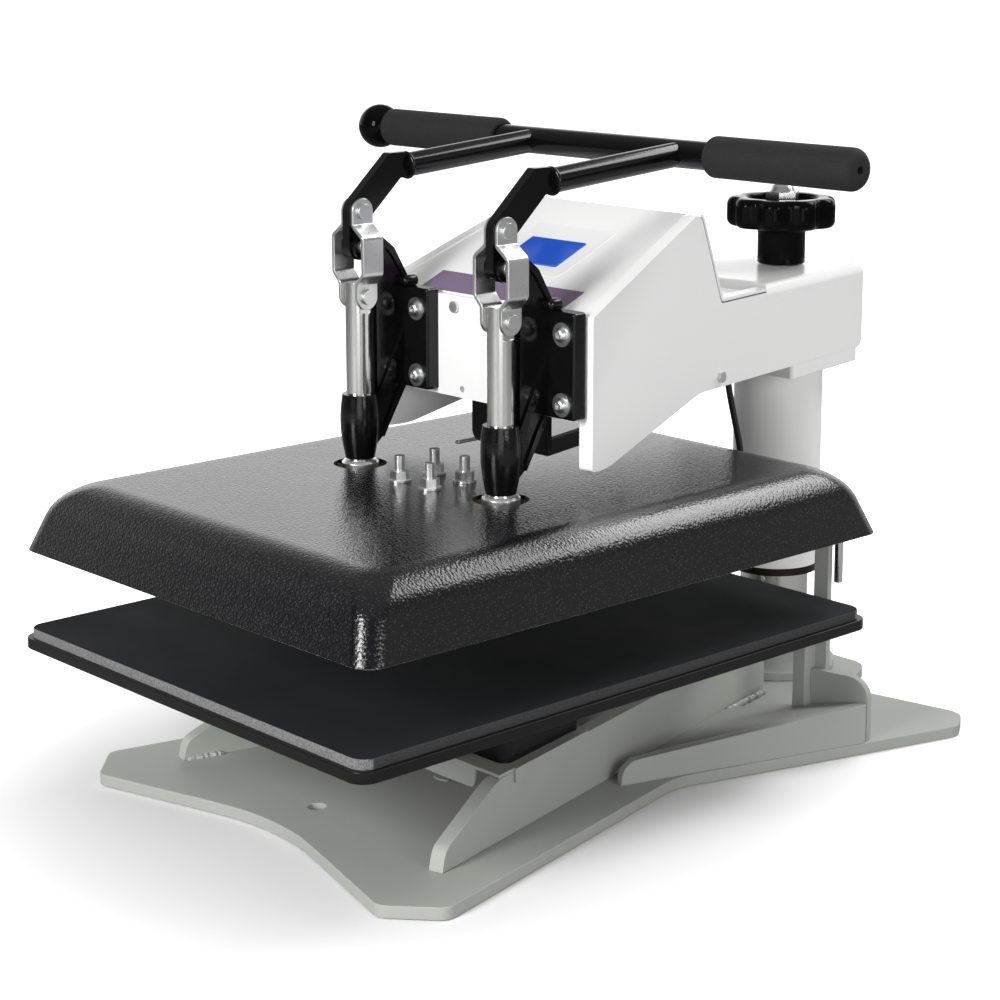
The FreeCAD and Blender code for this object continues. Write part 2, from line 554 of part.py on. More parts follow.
ring.Axis = (scallop, ["N_Axis"])
ring.Angle = 360
ring.setExpression("Occurrences", bound("lobe_count"))
knob.Tip = ring
doc.recompute()
node("lobed_knob", put(knob, y="post_y"))
spindle = turned("spindle_solid", [
    ("0", "spindle_low"), ("spindle_d / 2 - 2", "spindle_low"), ("spindle_d / 2", "spindle_low + 2"),
    ("spindle_d / 2", "collar_low"), ("collar_d / 2", "collar_low"),
    ("collar_d / 2", "collar_high"), ("spindle_d / 2", "collar_high"),
    ("spindle_d / 2", "knob_recess_z"), ("0", "knob_recess_z")])
node("lift_spindle", put(spindle, y="post_y"))
nut = hexagon("nut_hex", "nut_wide", "nut_thick", "0", "post_y", "knob_recess_z")
dome = put(turned("nut_dome_solid", [
    ("0", "knob_recess_z + nut_thick"), ("nut_wide / 2 - 1", "knob_recess_z + nut_thick"),
    ("nut_wide / 2 - 4", "knob_recess_z + nut_thick + nut_dome * 0.65"),
    ("nut_wide / 2 - 8", "knob_recess_z + nut_thick + nut_dome * 0.92"),
    ("0", "knob_recess_z + nut_thick + nut_dome")]), y="post_y")
node("knob_dome_nut", joined("nut_fused", [nut, dome]))

# Arm: two upright side plates that close in towards the post.
START = "arm_thick * tan(arm_splay)"


def along_arm(y):
    """Distance along a side plate to a given Y."""
    return "((%s) - arm_front_y) / cos(arm_splay)" % y


ARM_IN = "(arm_front_x - arm_thick / cos(arm_splay) - tan(arm_splay) * ((%s) - arm_front_y))"
ARM_OUT = "(arm_front_x - tan(arm_splay) * ((%s) - arm_front_y))"
arm_points = [(START, "arm_low_z"), (along_arm("arm_knee_y"), "arm_low_z"),
              (along_arm("arm_under_y"), "arm_under_z"), (along_arm("arm_rear_y"), "arm_under_z"),
              (along_arm("arm_rear_y"), "arm_box_z"), (along_arm("arm_box_y"), "arm_box_z"),
              (along_arm("arm_box_y"), "arm_back_z"), (along_arm("arm_back_y"), "arm_back_z"),
              (along_arm("arm_peak_y"), "arm_peak_z"), (START, "arm_front_z")]
side_screw = (along_arm("side_screw_y"), "side_screw_z", "screw_d")
for word, side in SIDES:
    cheek = prism("cheek_" + word, "YZ_Plane", arm_points, "arm_thick",
                  base="-1 * arm_thick" if side > 0 else "0", holes=[side_screw],
                  rounds=[((1, 2), "arm_under_round"), ((8,), "arm_peak_round"), ((0,), "4"),
                          ((3,), "8"), ((7,), "5")])
    put(cheek, "%d * arm_front_x" % side, "arm_front_y", turn="%d * arm_splay" % side)
    node("arm_side_" + word, cheek)

# Saddle plate under the arm, on the top of the sleeve.
hole = ("0", "post_y", "spindle_d + 2 * running_fit")
saddle = prism("saddle_solid", "XY_Plane", mirrored([
    (ARM_OUT % "saddle_front_y", "saddle_front_y"), (ARM_OUT % "saddle_rear_y", "saddle_rear_y")]),
    "arm_under_z - saddle_low", base="saddle_low", holes=[hole], rounds=[((0, 1, 2, 3), "3")])
node("saddle_plate", saddle)

# Rear box: a lid over both side plates, with end walls between them.
lid = prism("lid_solid", "XY_Plane", mirrored([
    (ARM_OUT % "arm_box_y", "arm_box_y"), (ARM_OUT % "arm_rear_y", "arm_rear_y")]),
    "box_top - arm_box_z", base="arm_box_z",
    holes=[("0", "post_y", "spindle_d + 2 * running_fit")])
top_edges = []
for number, edge in enumerate(lid.Tip.Shape.Edges):
    ends = [vertex.Point for vertex in edge.Vertexes]
    if len(ends) == 2 and min(point.z for point in ends) > size("box_top") - 0.01:
        top_edges.append("Edge%d" % (number + 1))
round_off(lid, lid.Tip, top_edges, "box_round")
walls = []
for word, y, thick in (("front", "arm_box_y", "box_wall"), ("rear", "arm_rear_y - 3 * box_wall",
                                                            "3 * box_wall")):
    walls.append(prism("box_wall_" + word, "XY_Plane", mirrored([
        (ARM_IN % y, y), (ARM_IN % ("%s + %s" % (y, thick)), "%s + %s" % (y, thick))]),
        "arm_box_z - arm_under_z", base="arm_under_z"))
box = joined("box_fused", [lid] + walls)
inlet_bay = block("inlet_bay", "inlet_wide", "40", "inlet_high", "inlet_x - inlet_wide / 2",
                  "arm_rear_y - 20", "inlet_z - inlet_high / 2")
rocker_bay = block("rocker_bay", "rocker_wide + 2 * rocker_gap", "40",
                   "rocker_high + 2 * rocker_gap", "rocker_x - rocker_wide / 2 - rocker_gap",
                   "arm_rear_y - 20", "rocker_z - rocker_high / 2 - rocker_gap")
pin_long = "rocker_wide + 2 * rocker_gap + 6"
rocker_y = "arm_rear_y - 4"
pin_bay = rod("rocker_pin_bay", "rocker_pin_d + 2 * running_fit", pin_long,
              "rocker_x - (%s) / 2" % pin_long, rocker_y, "rocker_z", "X")
node("rear_box", less("box_cut", box, [inlet_bay, rocker_bay, pin_bay]))
inlet_body = block("inlet_body", "inlet_wide", "inlet_deep", "inlet_high",
                   "inlet_x - inlet_wide / 2", "arm_rear_y + 2 - inlet_deep",
                   "inlet_z - inlet_high / 2")
inlet_hole = block("inlet_cavity", "inlet_hole_wide", "inlet_hole + 1", "inlet_hole_high",
                   "inlet_x - inlet_hole_wide / 2", "arm_rear_y + 2 - inlet_hole",
                   "inlet_z - inlet_hole_high / 2")
node("power_inlet", less("inlet", inlet_body, [inlet_hole]))
rocker = put(prism("rocker_body", "YZ_Plane", [("-5", "-1 * rocker_high / 2 + 2"),
                                               ("4", "-1 * rocker_high / 2"),
                                               ("4 + rocker_proud", "-1 * rocker_high / 2"),
                                               ("4.4", "0"),
                                               ("4 + rocker_proud", "rocker_high / 2"),
                                               ("4", "rocker_high / 2"),
                                               ("-5", "rocker_high / 2 - 2")],
                   "rocker_wide", middle=True), "rocker_x", rocker_y, "rocker_z")
pin = rod("rocker_pin", "rocker_pin_d", pin_long, "rocker_x - (%s) / 2" % pin_long, rocker_y,
          "rocker_z", "X")
node("power_rocker", joined("rocker_fused", [rocker, pin]))

# Front plate between the side plates, with one screw and one spare hole.
bolt_rows = ("toggle_bolt_low", "toggle_bolt_high")
flange_bolts = [("%d * (toggle_x + %d * toggle_bolt_x)" % (side, step), z)
                for word, side in SIDES for step in (-1, 1) for z in bolt_rows]
face = prism("face_solid", "XZ_Plane", mirrored([
    (ARM_IN % "front_face_y + front_thick", "arm_under_z"),
    (ARM_IN % "front_face_y + front_thick", "arm_front_z")]), "front_thick", base="front_face_y",
    holes=[(x, z, "toggle_bolt_d") for x, z in flange_bolts]
    + [("front_screw_x", "front_screw_z", "screw_d"),
       ("front_hole_x", "front_hole_z", "front_hole_d")])
node("front_plate", face)


def round_screw(name, y, z, x):
    """A round-headed screw that faces the front."""
    head = rod(name + "_head", "screw_head_d", "screw_head", x, y + " - screw_head", z, "Y")
    shank = rod(name + "_shank", "screw_d", "front_thick + 2", x, y, z, "Y")
    return joined(name, [head, shank])


screws = [round_screw("face_screw", "front_face_y", "front_screw_z", "front_screw_x")]
for word, side in SIDES:
    head = rod("side_head_" + word, "screw_head_d", "screw_head",
               "0" if side > 0 else "-1 * screw_head", along_arm("side_screw_y"),
               "side_screw_z", "X")
    shank = rod("side_shank_" + word, "screw_d", "arm_thick",
                "-1 * arm_thick" if side > 0 else "0", along_arm("side_screw_y"),
                "side_screw_z", "X")
    screws.append(put(joined("side_screw_" + word, [head, shank]), "%d * arm_front_x" % side,
                      "arm_front_y", turn="%d * arm_splay" % side))
node("arm_screws", set_of("arm_screw_set", screws))

# Console cover: one folded sheet up the slope, over the peak and along the rear deck.
back_y = "front_face_y + front_thick"
slope = "(arm_peak_z - arm_front_z) / (arm_peak_y - arm_front_y)"
start_z = "arm_front_z + (%s) * (%s - arm_front_y) - console_drop" % (slope, back_y)
surface = "arm_front_z - console_drop + (%s) * ((%s) - arm_front_y)"
under = " - console_sheet * sqrt(1 + (%s) * (%s))" % (slope, slope)
fold = [(back_y, start_z), ("arm_peak_y - 3", surface % (slope, "arm_peak_y - 3")),
        ("arm_back_y - 1", "arm_back_z - console_drop"), ("arm_box_y", "arm_back_z - console_drop"),
        ("arm_box_y", "arm_back_z - console_drop - console_sheet"),
        ("arm_back_y - 3", "arm_back_z - console_drop - console_sheet"),
        ("arm_peak_y - 5", surface % (slope, "arm_peak_y - 5") + under),
        (back_y, start_z + under)]
sheet_run = prism("console_fold", "YZ_Plane", fold, "400", middle=True)
between = prism("console_limits", "XY_Plane", mirrored([
    (ARM_IN % back_y, back_y), (ARM_IN % "arm_box_y", "arm_box_y")]), "300", base="arm_under_z")
node("console_cover", both("console", sheet_run, between))
tilt = "(atan(%s) / 1 deg)" % slope
window = block("window", "display_wide", "display_long", "display_thick", "0", "0", "0")
run = "display_y - cos(%s) * display_long / 2" % tilt
put(window, "-1 * display_wide / 2", run, surface % (slope, run), turn=tilt, axis=(1, 0, 0))
node("display_window", window)
board = block("board", "board_wide", "board_long", "board_thick", "0", "0", "0")
run = "display_y - cos(%s) * board_long / 2 + sin(%s) * board_gap" % (tilt, tilt)
posts = []
for k, (x, y) in enumerate(((6, 6), (6, 58), (114, 6), (114, 58))):
    posts.append(rod("board_post_%d" % k, "6", "board_gap - board_thick - 3", str(x), str(y),
                     "board_thick"))
control = joined("board_fused", [board] + posts)
put(control, "-1 * board_wide / 2", run, (surface % (slope, "display_y - cos(%s) * board_long / 2"
    % tilt)) + " - cos(%s) * board_gap" % tilt, turn=tilt, axis=(1, 0, 0))
node("control_board", control)

# Bracket behind the lower edge of the front plate, with a bar that runs back.
tongue = prism("tongue_solid", "XZ_Plane", [
    ("tongue_x", "tongue_low"), ("tongue_end_x", "tongue_low"), ("tongue_end_x", "tongue_top"),
    ("tongue_x", "tongue_top")], "tongue_thick", base=back_y, rounds=[((0, 1), "8")])
add_pad(tongue, "tongue_bar", "XY_Plane", [
    ("tongue_end_x - 6", back_y), ("tongue_end_x", back_y), ("bar_rear_x + 6", "bar_rear_y"),
    ("bar_rear_x", "bar_rear_y")], "bar_top - tongue_low", base="tongue_low")
node("lower_bracket", tongue)

# Toggle castings, drawn about the plunger's axis: guide barrel, web, flange and ears.
reach = "(front_face_y - toggle_y)"
bolts = []
pins = []
for word, side in SIDES:
    name = "toggle_" + word
    cast = prism(name + "_cast", "XZ_Plane", [
        ("-1 * flange_wide / 2", "flange_low"), ("flange_wide / 2", "flange_low"),
        ("flange_wide / 2", "flange_top"), ("-1 * flange_wide / 2", "flange_top")],
        "flange_thick", base=reach + " - flange_thick",
        holes=[("%d * toggle_bolt_x" % step, z, "toggle_bolt_d")
               for step in (-1, 1) for z in bolt_rows],
        rounds=[((0, 1, 2, 3), "flange_round")])
    round_off(cast, cast.Tip, straight_edges(cast.Shape, size("front_face_y") - size("toggle_y")
                                             - size("flange_thick")), "flange_soft")
    add_pad(cast, name + "_web", "YZ_Plane", [
        ("web_inner - 2", "web_foot_z"), ("web_inner + 5", "web_foot_z + 6"),
        ("web_low_y", "web_low_z"), (reach + " - flange_thick + 1", "flange_low"),
        ("web_end_y", "flange_low"),
        ("web_end_y", "web_end_z"), ("web_high_y", "web_high_z"),
        ("web_inner", "pivot_z + ear_round"), ("web_inner", "nose_top")],
        "2 * web_half", middle=True)
    add_pad(cast, name + "_ears", "YZ_Plane", [
        ("web_inner", "pivot_z - ear_round - 4"), ("web_inner + 8", "pivot_z - ear_round"),
        ("web_inner + 8", "pivot_z + ear_round - 6"), ("web_inner", "pivot_z + ear_round"),
        ("-1 * ear_round", "pivot_z + ear_round"), ("-1 * ear_round", "pivot_z - ear_round")],
        "2 * ear_half", middle=True, rounds=[((4, 5), "ear_round - 0.4")])
    add_pad(cast, name + "_rim", "YZ_Plane", [
        ("web_end_y", "web_end_z - rim_thick - 1"), ("web_end_y", "web_end_z"),
        ("web_high_y", "web_high_z"), ("web_inner + 4", "pivot_z + ear_round - 2"),
        ("web_inner + 4", "pivot_z + ear_round - 2 - rim_thick"),
        ("web_high_y - 2", "web_high_z - rim_thick - 1")], "2 * ear_half", middle=True)
    add_pad(cast, name + "_brace", "YZ_Plane", [
        ("web_inner - 2", "nose_top - 5"), ("web_inner + 4", "nose_top - 8"),
        (reach + " - flange_thick + 1", "flange_low + 36"),
        (reach + " - flange_thick + 1", "flange_low + 49")], "2 * ear_half", middle=True)
    add_pad(cast, name + "_sill", "YZ_Plane", [
        ("web_inner + 5", "web_foot_z + 6"), ("web_low_y", "web_low_z"),
        (reach + " - flange_thick + 1", "flange_low"),
        (reach + " - flange_thick + 1", "flange_low + 8"), ("web_low_y - 2", "web_low_z + 6"),
        ("web_inner + 5", "web_foot_z + 13")], "2 * ear_half", middle=True)
    barrel = turned(name + "_barrel", [
        ("0", "nose_low"), ("nose_low_d / 2", "nose_low"), ("nose_mid_d / 2", "nose_mid"),
        ("nose_top_d / 2", "nose_top"), ("0", "nose_top")])
    round_off(barrel, barrel.Tip, ring_edges(barrel.Shape, size("nose_mid")), "nose_soft")
    slot = block(name + "_slot", "2 * slot_half", "40", "40", "-1 * slot_half",
                 "lever_wide / 2 + 0.7 - 40", "pivot_z - lever_wide / 2 - 6")
    guide = rod(name + "_guide", "rod_d + 2 * running_fit", "nose_top - nose_low + 4",
                z="nose_low - 2")
    eye = rod(name + "_eye", "pivot_pin_d", "60", "-30", "0", "pivot_z", "X")
    body = less(name + "_machined", joined(name + "_fused", [cast, barrel]), [slot, guide, eye])
    put(body, "%d * toggle_x" % side, "toggle_y")
    node("toggle_body_" + word, body)
    pin = rod("pivot_shank_" + word, "pivot_pin_d", "2 * pivot_pin_half",
              "%d * toggle_x - pivot_pin_half" % side, "toggle_y", "pivot_z", "X")
    caps = [rod("pivot_cap_%s_%d" % (word, k), "pivot_pin_d + 3", "pivot_pin_half - ear_half",
                "%d * toggle_x %s" % (side, x), "toggle_y", "pivot_z", "X")
            for k, x in enumerate(("+ ear_half", "- pivot_pin_half"))]
    pins.append(joined("pivot_pin_" + word, [pin] + caps))
for k, (x, z) in enumerate(flange_bolts):
    front = "front_face_y - flange_thick"
    washer = rod("toggle_washer_%d" % k, "washer_d", "washer_thick", x,
                 front + " - washer_thick", z, "Y")
    button = put(turned("toggle_button_%d" % k, [
        ("0", "0"), ("button_d / 2", "0"), ("button_d / 2", "button_high * 0.35"),
        ("button_d / 2 - 1.1", "button_high * 0.78"), ("button_d / 2 - 2.6", "button_high"),
        ("0", "button_high")]), x, front + " - washer_thick", z, turn="90", axis=(1, 0, 0))
    socket = hexagon("toggle_socket_%d" % k, "socket_wide", "socket_deep", x,
                     front + " - washer_thick - button_high", z, "Y")
    head = less("toggle_head_%d" % k, button, [socket])
    shank = rod("toggle_shank_%d" % k, "toggle_bolt_d", "flange_thick + front_thick", x, front,
                z, "Y")
    bolts.append(joined("toggle_bolt_%d" % k, [washer, head, shank]))
node("toggle_bolts", set_of("toggle_bolt_set", bolts))
node("pivot_pins", set_of("pivot_pin_set", pins))

# Plungers: ground rods with two flats at the top, in foot collars on the platen.
platen_top = "platen_low + platen_thick"
feet = []
for word, side in SIDES:
    stem = rod("stem_" + word, "rod_d", "rod_top - (%s)" % platen_top, z=platen_top)
    keep = block("stem_keep_" + word, "2 * rod_flat", "40", "400", "-1 * rod_flat", "-20",
                 "rod_flat_low")
    lower = block("stem_low_" + word, "60", "60", "rod_flat_low", "-30", "-30", "0")
    rod_body = both("stem_flat_" + word, stem, joined("stem_limits_" + word, [keep, lower]))
    put(rod_body, "%d * toggle_x" % side, "toggle_y")
    node("plunger_" + word, rod_body)
    feet.append(put(turned("foot_" + word, [
        ("rod_d / 2", platen_top), ("foot_d / 2 + 3", platen_top),
        ("foot_d / 2 + 3", platen_top + " + 5"), ("foot_d / 2", platen_top + " + 5"),
        ("foot_d / 2", "foot_top - 2"), ("foot_d / 2 - 2", "foot_top"), ("rod_d / 2", "foot_top")]),
        "%d * toggle_x" % side, "toggle_y"))
node("plunger_feet", set_of("foot_set", feet))

# Links: two joggled strips straddle each lever, its casting and its plunger.
pin_top = "(pivot_z + crank)"
pin_low = "(pivot_z + crank - link_long)"
for word, side in SIDES:
    strips = []
    step_top = pin_top + " - strip_step_top"
    step_low = pin_low + " + strip_step_low"
    turn = " %s strip_thick * tan(atan((strip_mid_in - %s) / %s) / 2)"
    turn_top = turn % ("+", "strip_top_in", "strip_run_top")
    turn_low = turn % ("-", "strip_low_in", "strip_run_low")
    for hand in (-1, 1):
        path = [("strip_top_in", pin_top + " + strip_wide / 2"),
                ("strip_top_in", step_top), ("strip_mid_in", step_top + " - strip_run_top"),
                ("strip_mid_in", step_low + " + strip_run_low"), ("strip_low_in", step_low),
                ("strip_low_in", pin_low + " - strip_wide / 2"),
                ("strip_low_in + strip_thick", pin_low + " - strip_wide / 2"),
                ("strip_low_in + strip_thick", step_low + turn_low),
                ("strip_mid_in + strip_thick", step_low + " + strip_run_low" + turn_low),
                ("strip_mid_in + strip_thick", step_top + " - strip_run_top" + turn_top),
                ("strip_top_in + strip_thick", step_top + turn_top),
                ("strip_top_in + strip_thick", pin_top + " + strip_wide / 2")]
        tag = "%s_%s" % (word, "inner" if hand * side < 0 else "outer")
        band = prism("strip_" + tag, "XZ_Plane", [("%d * (%s)" % (hand, x), z) for x, z in path],
                     "strip_wide", base="-1 * strip_wide / 2",
                     rounds=[((1, 4, 8, 9), "strip_bend + strip_thick"),
                             ((2, 3, 7, 10), "strip_bend")])
        shape = prism("strip_shape_" + tag, "YZ_Plane", [
            ("-1 * strip_wide / 2", pin_low + " - strip_wide / 2"),
            ("strip_wide / 2", pin_low + " - strip_wide / 2"),
            ("strip_wide / 2", pin_top + " + strip_wide / 2"),
            ("-1 * strip_wide / 2", pin_top + " + strip_wide / 2")], "80", middle=True,
            holes=[("0", pin_top, "rivet_d"), ("0", pin_low, "rivet_d")],
            rounds=[((0, 1, 2, 3), "strip_wide / 2 - 0.05")])
        strips.append(both("strip_cut_" + tag, band, shape))
    plates = put(set_of("strip_set_" + word, strips), "%d * toggle_x" % side, "toggle_y")
    node("link_plates_" + word, plates)
    outer = "(strip_top_in + strip_thick)"
    rivet = [rod("rivet_shank_" + word, "rivet_d", "2 * %s" % outer, "-1 * %s" % outer, "0",
                 pin_top, "X")]
    stubs = []
    for hand in (-1, 1):
        tag = "%s_%d" % (word, hand + 1)
        x = outer if hand > 0 else "-1 * %s - rivet_head" % outer
        rivet.append(rod("rivet_head_" + tag, "rivet_head_d", "rivet_head", x, "0", pin_top, "X"))
        x = "strip_low_in" if hand > 0 else "-1 * strip_low_in - strip_thick"
        stub = rod("stub_shank_" + tag, "rivet_d", "strip_thick", x, "0", pin_low, "X")
        x = ("strip_low_in + strip_thick" if hand > 0
             else "-1 * strip_low_in - strip_thick - rivet_head")
        head = rod("stub_head_" + tag, "rivet_head_d", "rivet_head", x, "0", pin_low, "X")
        stubs.append(joined("stub_" + tag, [stub, head]))
    rivets = set_of("rivet_set_" + word, [joined("rivet_" + word, rivet)] + stubs)
    node("link_rivets_" + word, put(rivets, "%d * toggle_x" % side, "toggle_y"))

# Handle: two bent levers with round arms, a crossbar, two grips and a ball.
cross_bar = rod("cross_rod", "cross_d", "cross_left + cross_right", "-1 * cross_left",
                "cross_y", "cross_z", "X")
cross_stud = rod("cross_stud", "stud_d", "stud_long", "-1 * cross_left - stud_long", "cross_y",
                 "cross_z", "X")
arm_y = "(toggle_y + lever_end_y)"
arm_run = "(cross_y - %s)" % arm_y
arm_rise = "(cross_z - tube_z)"
for word, side in SIDES:
    blade = prism("blade_" + word, "YZ_Plane", [
        ("-1 * lever_wide / 2", "pivot_z - lever_wide / 2"),
        ("lever_wide / 2", "pivot_z - lever_wide / 2"), ("lever_wide / 2", "lever_knee_z"),
        ("lever_under_y", "lever_under_z"), ("lever_end_y", "lever_under_z"),
        ("lever_end_y", "lever_over_z"), ("lever_over_y", "lever_over_z"),
        ("-1 * lever_wide / 2", "lever_top_z")], "lever_thick", middle=True,
        holes=[("0", "pivot_z", "pivot_pin_d + 2 * running_fit"),
               ("0", pin_top, "rivet_d + 2 * running_fit")],
        rounds=[((0, 1), "lever_wide / 2 - 0.1"), ((7,), "14"), ((5, 6), "3")])
    put(blade, "%d * toggle_x" % side, "toggle_y")
    tube = rod("tube_" + word, "tube_d", "sqrt(%s * %s + %s * %s)" % (arm_run, arm_run, arm_rise,
                                                                     arm_rise))
    put(tube, "%d * toggle_x" % side, arm_y, "tube_z",
        turn="atan(%s / %s) / 1 deg - 90" % (arm_rise, arm_run), axis=(1, 0, 0))
    bead = doc.addObject("Part::Torus", "weld_" + word)
    bead.setExpression("Radius1", bound("tube_d / 2"))
    bead.Radius2 = 1.6
    put(bead, "%d * toggle_x" % side, arm_y, "tube_z",
        turn="atan(%s / %s) / 1 deg - 90" % (arm_rise, arm_run), axis=(1, 0, 0))
    whole = joined("lever_fused_" + word, [blade, tube, bead])
    node("lever_" + word, less("lever_cut_" + word, whole, [cross_bar]))
crossbar = joined("crossbar", [cross_bar, cross_stud])
node("handle_crossbar", crossbar)
ball = doc.addObject("Part::Sphere", "ball_round")
ball.setExpression("Radius", bound("ball_d / 2"))
ball.Placement.Rotation = FreeCAD.Rotation(FreeCAD.Vector(0, 1, 0), 90)
put(ball, "-1 * ball_x", "cross_y", "cross_z")
ball.setExpression("Angle2", bound("asin((ball_x - cross_left) / (ball_d / 2))"))
node("handle_ball", less("ball", ball, [cross_stud]))
grip = rod("grip_right_foam", "grip_d", "grip_right_out - grip_right_in", "grip_right_in",
           "cross_y", "cross_z", "X")
grip_soft = doc.addObject("Part::Fillet", "grip_right_soft")
grip_soft.Base = grip
vent = rod("grip_vent", "grip_hole_d", "20", "grip_right_out - 10", "cross_y", "cross_z", "X")
grip_soft.Edges = [(1, 3.0, 3.0), (3, 3.0, 3.0)]
doc.recompute()
node("grip_right", less("grip_right_bored", grip_soft, [cross_bar, vent]))
grip = rod("grip_left_foam", "grip_d", "cross_left - grip_left_in", "-1 * cross_left",
           "cross_y", "cross_z", "X")
grip_soft = doc.addObject("Part::Fillet", "grip_left_soft")
grip_soft.Base = grip
grip_soft.Edges = [(1, 3.0, 3.0), (3, 3.0, 3.0)]
doc.recompute()
node("grip_left", less("grip_left_bored", grip_soft, [cross_bar]))

# Platen: aluminium plate, element, blanket and the flared cover held by four studs.
plate = rectangle("platen_plate", "platen_wide", "platen_long", "platen_low", "platen_thick",
                  "platen_round", middle_y="platen_y")
stud_spots = [("cover_stud_x + %d * cover_stud_gap / 2" % i,
               "cover_stud_y + %d * cover_stud_gap / 2" % j) for i in (-1, 1) for j in (-1, 1)]
node("heat_platen", plate)


def cover_form(name, shrink, drop, curve, corner):
    """The outside or the inside of the cover: flared walls that turn into a flat top."""
    low = size("cover_low")
    high = size("cover_top") - drop
    flare = math.radians(size("cover_flare"))
    turn_z = high - curve + curve * math.sin(flare)
    centre = (turn_z - low) * math.tan(flare) + curve * math.cos(flare)
    levels = [(0.0, low)]
    steps = 7
    for step in range(steps + 1):
        angle = flare + (math.pi / 2 - flare) * step / steps
        levels.append((centre - curve * math.cos(angle), high - curve + curve * math.sin(angle)))
    rings = []
    for inset, z in levels:
        wide = size("cover_wide") / 2 - shrink - inset
        long = size("cover_long") / 2 - shrink - inset
        middle = size("platen_y")
        sides = []
        for k, (cx, cy) in enumerate(((wide - corner, middle - long + corner),
                                      (wide - corner, middle + long - corner),
                                      (corner - wide, middle + long - corner),
                                      (corner - wide, middle - long + corner))):
            bend = [FreeCAD.Vector(cx + corner * math.cos(math.radians(90 * k - 90 + step)),
                                   cy + corner * math.sin(math.radians(90 * k - 90 + step)), z)
                    for step in (0, 45, 90)]
            sides.append(bend)
        edges = []
        for k in range(4):
            edges.append(Part.Arc(*sides[k]).toShape())
            edges.append(Part.LineSegment(sides[k][2], sides[(k + 1) % 4][0]).toShape())
        rings.append(Part.Wire(edges))
    form = doc.addObject("Part::Feature", name)
    form.Shape = Part.makeLoft(rings, True, True)
    form.Placement = FreeCAD.Placement()
    return form


hull = cover_form("cover_hull", 0, 0, size("cover_round"), size("cover_corner"))
wall = size("cover_wall")
room = cover_form("cover_room", wall / math.cos(math.radians(size("cover_flare"))), wall,
                  size("cover_round") - wall, size("cover_corner") - wall)
openings = [rod("cover_hole_" + word, "cover_hole_d", "40", "%d * toggle_x" % side, "toggle_y",
                "cover_top - 20") for word, side in SIDES]
openings += [rod("cover_stud_hole_%d" % k, "cover_stud_d", "40", x, y, "cover_top - 20")
             for k, (x, y) in enumerate(stud_spots)]
shell = less("cover_shell", hull, [room] + openings)
gland = rod("cover_gland", "gland_d", "gland_long", "lead_x")
put(gland, "lead_x", "gland_y", "gland_z", turn="90 + gland_tilt", axis=(1, 0, 0))
node("platen_cover", joined("cover_fused", [shell, gland]))

# Element: a flat serpentine on the platen. The blanket lies over it.
x = "element_wide / 2"
lane = "element_slot / 2"
serpentine = []
for k in range(-2, 3):
    flip = 1 if k % 2 == 0 else -1
    serpentine.append(("%d * element_wide / 5 - element_wide / 5 * 0.36" % k, flip))
element = prism("element_outline_solid", "XY_Plane", [
    ("-1 * " + x, "platen_y - element_long / 2"), (x, "platen_y - element_long / 2"),
    (x, "platen_y + element_long / 2"), ("-1 * " + x, "platen_y + element_long / 2")],
    "element_thick", base=platen_top, rounds=[((0, 1, 2, 3), "14")])
slots = []
for k in range(-3, 4):
    end = "platen_y - element_long / 2 + 24" if k % 2 == 0 else "platen_y - element_long / 2 - 1"
    slots.append(block("element_slot_%d" % (k + 3), "10", "element_long - 23", "element_thick",
                       "%d * element_slot - 5" % k, end, platen_top))
clear = [rod("element_foot_hole_" + word, "blanket_hole_d", "60", "%d * toggle_x" % side,
             "toggle_y", platen_top + " - 1") for word, side in SIDES]
clear += [rod("element_stud_hole_%d" % k, "blanket_stud_d", "60", x, y, platen_top + " - 1")
          for k, (x, y) in enumerate(stud_spots)]
node("heating_element", less("element", element, slots + clear))
blanket = prism("blanket_solid", "XY_Plane", [
    ("-1 * blanket_wide / 2", "platen_y - blanket_long / 2"),
    ("blanket_wide / 2", "platen_y - blanket_long / 2"),
    ("blanket_wide / 2", "platen_y + blanket_long / 2"),
    ("-1 * blanket_wide / 2", "platen_y + blanket_long / 2")],
    "cover_top - cover_wall - (%s) - element_thick" % platen_top,
    base=platen_top + " + element_thick", rounds=[((0, 1, 2, 3), "20")])
node("insulation_blanket", less("blanket", blanket, clear))
studs = []
for k, (x, y) in enumerate(stud_spots):
    pillar = rod("stud_rod_%d" % k, "cover_stud_d", "cover_stud_top - (%s)" % platen_top, x, y,
                 platen_top)
    washer = rod("stud_washer_%d" % k, "washer_d", "washer_thick", x, y, "cover_top")
    head = hexagon("stud_nut_%d" % k, "hex_wide", "hex_thick + 1", x, y,
                   "cover_top + washer_thick")
    studs.append(joined("stud_%d" % k, [pillar, washer, head]))
node("cover_studs", set_of("stud_set", studs))

# Stop rod: a lug on the cover's back flare with a rod that hangs beside the stop post.
back = "(platen_y + cover_long / 2)"
STOP_ROD_Y = "(%s + stop_rod_back)" % REAR_WALL_Y
lug = prism("stop_lug", "YZ_Plane", [
    (back + " - tan(cover_flare) * (stop_lug_low - cover_low)", "stop_lug_low"),
    (STOP_ROD_Y + " + stop_rod_d", "stop_lug_low"),
    (STOP_ROD_Y + " + stop_rod_d", "stop_lug_low + 6"),
    (back + " - tan(cover_flare) * (stop_lug_top - cover_low)", "stop_lug_top")],
    "stop_lug_wide", base="stop_rod_x - stop_lug_wide / 2")
hanger = rod("stop_hanger", "stop_rod_d", "stop_lug_low + 3 - stop_rod_low", "stop_rod_x",
             STOP_ROD_Y, "stop_rod_low")
node("swing_stop_rod", joined("stop_rod_fused", [lug, hanger]))

